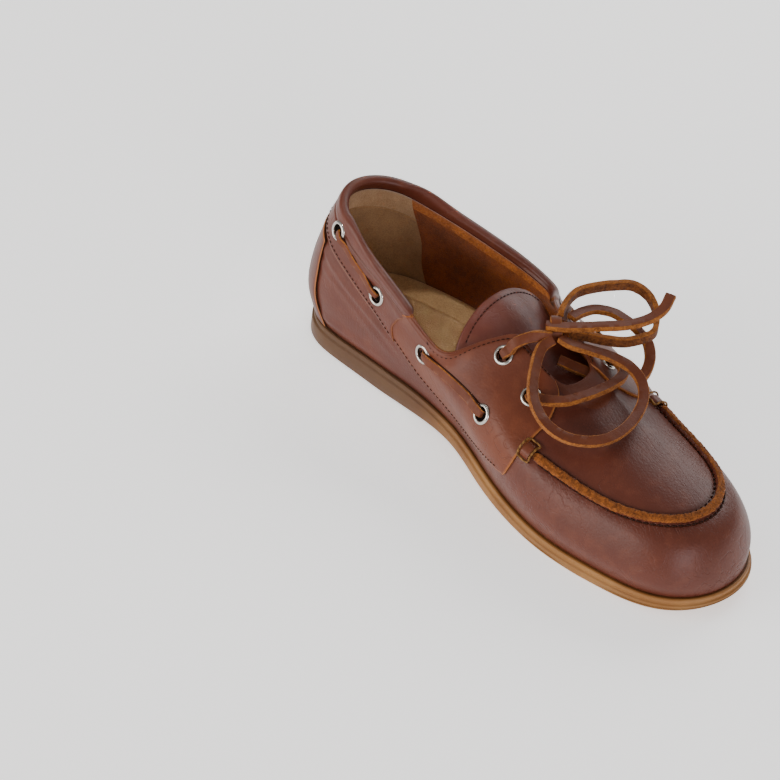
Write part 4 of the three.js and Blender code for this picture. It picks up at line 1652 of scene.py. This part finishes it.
@dataclass
class Insole:
    """The suede footbed, cupped along its border."""

    last: Last
    inset: float = 2.25
    height: float = 2.4
    cup: float = 2.6
    border: float = 9.5
    stations: int = 260
    across: int = 70

    def build(self) -> None:
        """Makes the footbed."""
        angle = np.linspace(0.004, 0.996, self.stations) * math.pi
        inset = np.full(self.stations, -self.inset)
        one = self.last.outline(angle, inset, 0.0)
        other = self.last.outline(2 * math.pi - angle, inset, 0.0)
        share = (1 - np.cos(np.linspace(0, math.pi, self.across))) / 2
        grid = one[None] + share[:, None, None] * (other - one)[None]
        width = np.linalg.norm(other - one, axis=-1)
        rear = grid[..., 0] - one[0, 0]
        front = one[-1, 0] - grid[..., 0]
        off = np.minimum.reduce(
            [share[:, None] * width, (1 - share[:, None]) * width, 0.9 * rear, 0.9 * front]
        )
        base = self.last.sole_top(grid[..., 0]) + self.last.gap
        lip = hump(off, self.border, 0.8)
        top, low = grid.copy(), grid.copy()
        cup = self.cup * (1 - smooth(0.5, self.border, off))
        top[..., 2] = base + self.height + cup - 0.6 * lip
        low[..., 2] = base + 0.02
        Shape().add_sheet(top, low).dress("footbed_suede", (FOOTBED_SUEDE,), "insole")


@dataclass
class Outsole:
    """The gum rubber sole: flat heel and ball, arch, toe spring and a stepped side."""

    last: Last
    margin: float = 2.6
    step: float = 0.9
    band: float = 2.6
    round: float = 1.6
    stations: int = 400

    def build(self) -> None:
        """Makes the sole."""
        angle = circle(self.stations)
        bottom = self.last.sole_bottom
        top = self.last.sole_top
        turn = np.linspace(0, math.pi / 2, 7)
        rows: list[tuple[float, Callable[[Array], Array], int]] = [
            (-10.0, bottom, 0), (-5.0, bottom, 0), (-1.0, bottom, 0)
        ]
        for t in turn:
            offset = self.margin - self.round + self.round * math.sin(t)
            rows.append((offset, lambda x, t=t: bottom(x) + self.round * (1 - math.cos(t)), 0))
        ledge = self.band
        rows += [
            (self.margin - 0.05, lambda x: bottom(x) * 0.5 + (top(x) - ledge - 1.0) * 0.5, 0),
            (self.margin - 0.1, lambda x: top(x) - ledge - 0.75, 0),
            (self.margin - 0.3, lambda x: top(x) - ledge - 0.35, 0),
            (self.margin - self.step, lambda x: top(x) - ledge - 0.15, 0),
            (self.margin - self.step - 0.15, lambda x: top(x) - ledge + 0.15, 0),
            (self.margin - self.step - 0.05, lambda x: top(x) - ledge + 0.6, 0),
            (self.margin - self.step, lambda x: top(x) - 1.0, 0),
            (self.margin - self.step - 0.1, lambda x: top(x) - 0.45, 0),
            (self.margin - self.step - 0.4, lambda x: top(x) - 0.1, 0),
            (self.margin - self.step - 1.0, top, 0),
            (-1.2, top, 1),
            (-10.0, top, 1),
        ]
        rings = []
        for margin, height, _ in rows:
            ring = self.last.outline(angle, np.full(self.stations, margin), 0.0)
            ring[:, 2] = height(ring[:, 0])
            rings.append(ring)
        grid = np.stack(rings)
        cells = quads(len(rings), self.stations, True)
        tag = np.repeat([row[2] for row in rows[1:]], self.stations)
        caps = []
        for start in (0, (len(rings) - 1) * self.stations):
            for k in range(self.stations // 2):
                a, b = k, k + 1
                c, d = self.stations - b, (self.stations - a) % self.stations
                corners = (start + a, start + b, start + c % self.stations, start + d)
                caps.append(list(dict.fromkeys(corners)))
        shape = Shape().add(grid, cells.tolist() + caps, np.pad(tag, (0, len(caps))))
        shape.dress("sole_gum", (GUM, DARK_TOP_GUM), "outsole")


@dataclass
class Laces:
    """The leather lace: side runs, leads, bars over the throat, and the tied bow."""

    last: Last
    eyelets: EyeletSet
    width: float = 4.8
    thick: float = 2.5
    corner: float = 0.35
    wander: float = 0.07
    spacing: float = 0.8
    front_bar: Table = (
        (148, -25, 55.5), (154, -23.5, 57), (161, -18.5, 58.5), (165, -7.5, 59), (166, 4, 58),
        (164.5, 14, 56.5), (159.5, 21, 54.5),
    )
    inner_bar: Table = (
        (157, 11, 52.2), (151, 8, 53.4), (145, 4.5, 55), (139.5, 1, 56.8),
    )
    leads: Sequence[Table] = (
        ((127, -15.5, 66.5), (130, -10.8, 69.5), (132.5, -7.5, 70.5), (136, -2.6, 70.2)),
        ((125, 20.5, 67.5), (128.5, 14, 70), (131.8, 7.6, 70.5)),
    )
    loop_lateral: Table = (
        (131, 8.5, 74.3), (129, 13.5, 75.3), (127.8, 21, 76.7), (130, 29, 77), (134, 39, 76),
        (138.5, 47, 74.5), (144.5, 50, 72), (151, 48.5, 69.5), (156.5, 44, 67), (160, 38, 65.8),
        (158.5, 32, 65), (154.5, 25.5, 64), (149, 19, 65), (143, 13, 66.5), (138.5, 7.5, 67.5),
    )
    loop_front: Table = (
        (140, -0.5, 70.3), (145, 0, 70), (152, 6, 68), (159.5, 13, 65), (166, 17, 62),
        (173, 17, 59), (179.5, 12, 57), (184, 4, 55.5), (187, -8, 54.5), (186, -19, 54),
        (181, -27, 54), (174, -32, 54.5), (165, -33.5, 56), (156, -31, 58), (148.5, -26, 61),
        (142, -18, 64), (137.8, -11.5, 66.2), (136.6, -7.6, 67.7), (137.6, -2.8, 69.2),
    )
    end_tip: Table = (
        (132, -2, 73.2), (139, 4, 73.6), (149, 16, 74.4), (155.5, 24, 75.2), (159.5, 33.5, 76),
        (160.5, 41.5, 78), (158, 49, 80.5),
    )
    end_tucked: Table = (
        (135.5, 10.5, 73.2), (135.5, 16, 73), (137, 24, 72), (142, 30, 70.5), (147.5, 33, 68.5),
        (153.5, 36, 64.3), (158.5, 37.5, 59.8), (164, 33.5, 56.5), (167, 28, 54), (168, 23.5, 53),
    )
    leaning: tuple[float, float, float] = (0.25, -0.35, 0.9)
    lying: Table = (
        (-0.1, 0.1, 1), (0.15, -0.2, 0.95), (0.25, -0.35, 0.9), (0.25, -0.35, 0.9),
        (0.35, -0.25, 0.9), (0.55, 0.0, 0.85), (0.6, 0.1, 0.8),
    )

    def strap(
        self,
        name: str,
        node: str,
        path: Array,
        lift: Stance | Array,
        ends: tuple[float, float] = (1.0, 1.0),
        wide: float = 1.0,
        deep: float = 1.0,
        shade: int = 0,
        grain: Finish = LACE_GRAIN,
    ) -> tuple[bpy.types.Object, Array]:
        """Makes a strap along a curve.

        Args:
            name: The piece's name.
            node: The CAD node that it takes the place of.
            path: Points that the curve runs through.
            lift: How it stands, or the way its grain face looks, one row for each of its rings.
            ends: Share of its size that is left at each end.
            wide: Share of the lace's width.
            deep: Share of the lace's thickness.
            shade: The side, 1 or -1, along which a strip of painted shadow marks the gap between
                lace and leather.
            grain: The finish of its outer face.

        Returns:
            The piece, and the points of its centre line.
        """
        count = int(spline_length(path) / self.spacing) + 8
        line = along_path(np.asarray(path, float), count)
        ahead = unit(np.gradient(line, axis=0))
        if isinstance(lift, Stance):
            up = np.tile([0.0, 0.0, 1.0], (count, 1))
            face = up if lift is Stance.FLAT else np.cross(ahead, up)
        else:
            share = np.linspace(0, 1, count)
            face = between(share, np.linspace(0, 1, len(lift)), lift)
        side = unit(np.cross(face, ahead))
        face = unit(np.cross(ahead, side))
        w, t, r = wide * self.width / 2, deep * self.thick / 2, self.corner
        section = np.array(
            [
                (-w, -t + r), (-w, t - r), (-w + r, t), (0, t + 0.05), (w - r, t), (w, t - r),
                (w, -t + r), (w - r, -t), (0, -t), (-w + r, -t),
            ]
        )
        tags = np.array([2, 2, 0, 0, 2, 2, 2, 1, 1, 2])
        rough = unevenness(len(name) * 31 + count, count, len(section), 2.0)
        reach = np.linspace(0, spline_length(path), count)
        left = ends[0] + (1 - ends[0]) * smooth(0, 5, reach)
        right = ends[1] + (1 - ends[1]) * smooth(0, 5, reach[-1] - reach)
        scale = np.minimum(left, right)[:, None, None]
        shaped = (section[None] + self.wander * rough) * scale
        shape = Shape().add_sweep(sections(line, side, face, shaped), tags)
        # Painted shadow: a thin dark ribbon beside the strap stands for the shadow in the gap
        # between lace and leather.
        if shade:
            gap = shade * np.array([w - 0.2, w + 0.55, w + 0.55, w - 0.2])
            outline = np.stack([gap, np.array([t - 0.45, t - 0.45, -t, -t])], -1)
            shape.add_sweep(sections(line, side, face, outline)[5:-5], 3)
        finishes = (grain, LACE_FLESH, LACE_EDGE, PAINTED_SHADOW)
        return shape.dress(name, finishes, node, sharp=40), line

    def hole(self, index: int, side: Side, high: float) -> Array:
        """A point on an eyelet's axis."""
        centre, axis = self.eyelets.place(index, side)
        return centre + high * axis

    def rim(self, index: int, side: Side, toward: Array, high: float = 1.25) -> Array:
        """The strap's centre over an eyelet's rim, on the way to another point."""
        centre, axis = self.eyelets.place(index, side)
        out = toward - centre
        out = unit(out - (out @ axis) * axis)
        return centre + 0.8 * self.eyelets.outer * out + (0.2 + high) * axis

    def runs(self) -> None:
        """Makes the four side runs."""
        for side in Side:
            for name, first, high, wide in (("rear", 0, 0.85, 0.7), ("front", 2, 0.95, 0.95)):
                (a, v), (b, w) = EYELET_PLACES[first], EYELET_PLACES[first + 1]
                share = np.array([0.25, 0.5, 0.75])
                angle = side.turn(math.pi * side.advance(a + (b - a) * share))
                level = v + (w - v) * share
                middle = self.last.lifted(angle, level, np.full(3, high))
                one, two = (self.eyelets.place(first + k, side)[1] for k in (0, 1))
                path = np.stack(
                    [
                        self.hole(first, side, -1.0), self.hole(first, side, 0.2),
                        self.rim(first, side, middle[0], 0.75), *middle,
                        self.rim(first + 1, side, middle[-1], 0.75),
                        self.hole(first + 1, side, 0.2), self.hole(first + 1, side, -1.0),
                    ]
                )
                lift = np.stack([one, (one + two) / 2, two])
                self.strap(
                    f"lace_side_{side.value}_{name}", f"lace_run_{side.value}_{name}", path,
                    lift, (0.7, 0.7), wide, 0.5, 1 if side is Side.MEDIAL else -1,
                )

    def throat(self) -> None:
        """Makes the leads to the knot and the bars across the throat."""
        up = np.array([0.0, 0.0, 1.0])
        for side, route in zip(Side, self.leads):
            points = np.array(route, float)
            axis = self.eyelets.place(4, side)[1]
            start = [self.hole(4, side, -1.0), self.hole(4, side, 1.2), self.rim(4, side, points[0])]
            path = np.concatenate([start, points])
            out = np.array([0.75, -0.7, 0.1]) if side is Side.MEDIAL else np.array([0.3, 0.2, 0.9])
            lift = np.stack([axis, axis, (axis + out) / 2, out])
            name = f"lace_leader_{side.value}"
            self.strap(name, f"lace_lead_{side.value}", path, lift, (0.7, 1.0))
        near, far = (self.eyelets.place(5, side)[1] for side in Side)
        bar = np.concatenate(
            [
                [self.hole(5, Side.MEDIAL, -1.0), self.hole(5, Side.MEDIAL, 1.4)],
                np.array(self.front_bar, float),
                [self.hole(5, Side.LATERAL, 1.4), self.hole(5, Side.LATERAL, -1.0)],
            ]
        )
        lift = np.stack([near, (near + up) / 2, up, up, up, (far + up) / 2, far])
        self.strap("lace_cross_front", "lace_bar_front", bar, lift, (0.7, 0.7))
        inner = np.array(self.inner_bar, float)
        self.strap("lace_cross_inner", "lace_bar_inner", inner, np.tile(self.leaning, (2, 1)))

    def knot(self) -> bpy.types.Object:
        """Makes the knot: two turns of the strap, side by side round a tight core."""
        across = unit(np.array([1.0, 1.0, 0.0]))
        toward = np.array([across[1], -across[0], 0.0])
        up = np.array([0.0, 0.0, 1.0])
        turn = circle(48)
        out = spokes(turn, toward, up)
        shape = Shape()
        for place, deep, tall, tilt in (
            ((135.4, 1.4, 69.9), 2.4, 2.0, 0.25), ((133.6, 3.2, 72.4), 2.6, 2.4, -0.3),
        ):
            line = np.array(place) + out * np.where(np.abs(np.sin(turn)) > 0.7, tall, deep)[:, None]
            line = line + tilt * (tall * np.sin(turn))[:, None] * across
            w, t, r = self.width / 2, 0.9, self.corner
            section = np.array(
                [(-w, -t), (-w, t - r), (-w + r, t), (0, t + 0.1), (w - r, t), (w, t - r), (w, -t)]
            )
            rings = sections(line, across, out, section)
            shape.add_sweep(rings, np.array([2, 2, 0, 0, 2, 2, 1]), closed=True)
            core = np.linspace(-0.8, 0.8, 5) * w
            rings = np.array(place) + core[:, None, None] * across + (out * 0.97 * deep)[None]
            shape.add_sweep(rings, 1)
        finishes = (LACE_GRAIN, LACE_FLESH, LACE_EDGE)
        return shape.dress("knot_wraps", finishes, "lace_knot", sharp=40)

    def bow(self) -> None:
        """Makes the knot, loops and ends."""
        knot = self.knot()
        for name, node, points, stance, far in (
            ("loop_standing", "lace_loop_lateral", self.loop_lateral, Stance.EDGE, "object"),
            ("loop_lying", "lace_loop_front", self.loop_front, self.lying, "object"),
            ("end_long", "lace_end_tip", self.end_tip, Stance.FLAT, "bare"),
            ("end_short", "lace_end_tucked", self.end_tucked, Stance.FLAT, "bare"),
        ):
            lift = stance if isinstance(stance, Stance) else np.array(stance)
            grain = LACE_FLESH if name == "loop_standing" else LACE_GRAIN
            piece, line = self.strap(name, node, np.array(points, float), lift, grain=grain)

    def build(self) -> None:
        """Makes the whole lace."""
        self.runs()
        self.throat()
        self.bow()


def spline_length(points: Array) -> float:
    """Length of the curve through points."""
    return path_length(spline(np.asarray(points, float), np.linspace(0, 1, 200)))


@dataclass
class Studio:
    """The camera at the photograph's angle, the lights and the pale floor."""

    eye: tuple[float, float, float] = (0.67763, -0.87327, 0.9604)
    right: tuple[float, float, float] = (0.7004, 0.70846, 0.08678)
    down: tuple[float, float, float] = (0.5091, -0.41065, -0.75643)
    lens: float = 150.7
    sensor: float = 36.0
    floor_size: float = 3000.0
    floor_drop: float = 0.02

    def camera(self) -> None:
        """Makes the camera."""
        data = bpy.data.cameras.new("camera")
        data.lens, data.sensor_width = self.lens, self.sensor
        data.clip_start, data.clip_end = 0.05, 20.0
        eye = bpy.data.objects.new("camera", data)
        right, down = Vector(self.right), Vector(self.down)
        back = -right.cross(down)
        eye.matrix_world = Matrix.Translation(Vector(self.eye)) @ Matrix(
            (right, -down, back)
        ).transposed().to_4x4()
        bpy.context.scene.collection.objects.link(eye)
        bpy.context.scene.camera = eye

    def lamp(
        self, name: str, place: Sequence[float], size: tuple[float, float], power: float,
        colour: str = "#FFFFFF", aim: Sequence[float] = (0.0, 0.0, 0.03), spread: float = 180.0,
    ) -> None:
        """Adds a soft box that looks at the shoe.

        Args:
            name: Its name.
            place: Where it stands, in metres.
            size: Its width and height in metres.
            power: Its power in watts.
            colour: Its colour.
            aim: The place that it looks at.
            spread: Width of its beam in degrees.
        """
        data = bpy.data.lights.new(name, "AREA")
        data.shape = "RECTANGLE"
        data.size, data.size_y = size
        data.energy = power
        data.color = linear(colour)[:3]
        data.spread = math.radians(spread)
        lamp = bpy.data.objects.new(name, data)
        lamp.location = Vector(place)
        lamp.rotation_euler = (Vector(aim) - Vector(place)).to_track_quat("-Z", "Y").to_euler()
        bpy.context.scene.collection.objects.link(lamp)

    def build(self) -> None:
        """Makes the camera, lights, world and floor."""
        self.camera()
        self.lamp("box_left", (-0.6, -1.4, 0.5), (1.5, 0.6), 20, "#FFFBF6")
        self.lamp("box_front", (1.5, -0.7, 0.55), (0.9, 0.6), 11, "#FDF8FF")
        self.lamp("box_back", (-0.35, 1.25, 0.95), (1.3, 0.8), 15)
        self.lamp(
            "box_heel", (-0.3, -0.1, 1.2), (0.12, 0.12), 0.014, aim=(-0.085, 0.0, 0.04), spread=5.0
        )
        world = bpy.data.worlds.new("studio")
        world.use_nodes = True
        light = world.node_tree.nodes["Background"]
        light.inputs["Color"].default_value = linear("#FFFFFF")
        light.inputs["Strength"].default_value = 0.4
        bpy.context.scene.world = world
        along, across = np.array([1.0, 0.0, 0.0]), np.array([0.0, 1.0, 0.0])
        ring = self.floor_size * spokes(circle(64), along, across) - SHIFT
        ring[:, 2] -= self.floor_drop
        shape = Shape().add(ring, [list(range(64))])
        shape.build("floor_paper", (PAPER,))


def main() -> None:
    """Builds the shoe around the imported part, and the studio."""
    logging.basicConfig(level=logging.INFO, format="%(name)s: %(message)s")
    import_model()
    Studio().build()
    last = Last()
    eyelets = EyeletSet(last)
    overlays = Overlays(last, eyelets)
    seam = Seam(last)
    Laces(last, eyelets).build()
    Outsole(last).build()
    Insole(last).build()
    Upper(last, eyelets).build()
    overlays.build()
    Tongue(last).build()
    seam.build()
    eyelets.build()
    Stitching(last, overlays, seam).build()


if __name__ == "__main__":
    main()
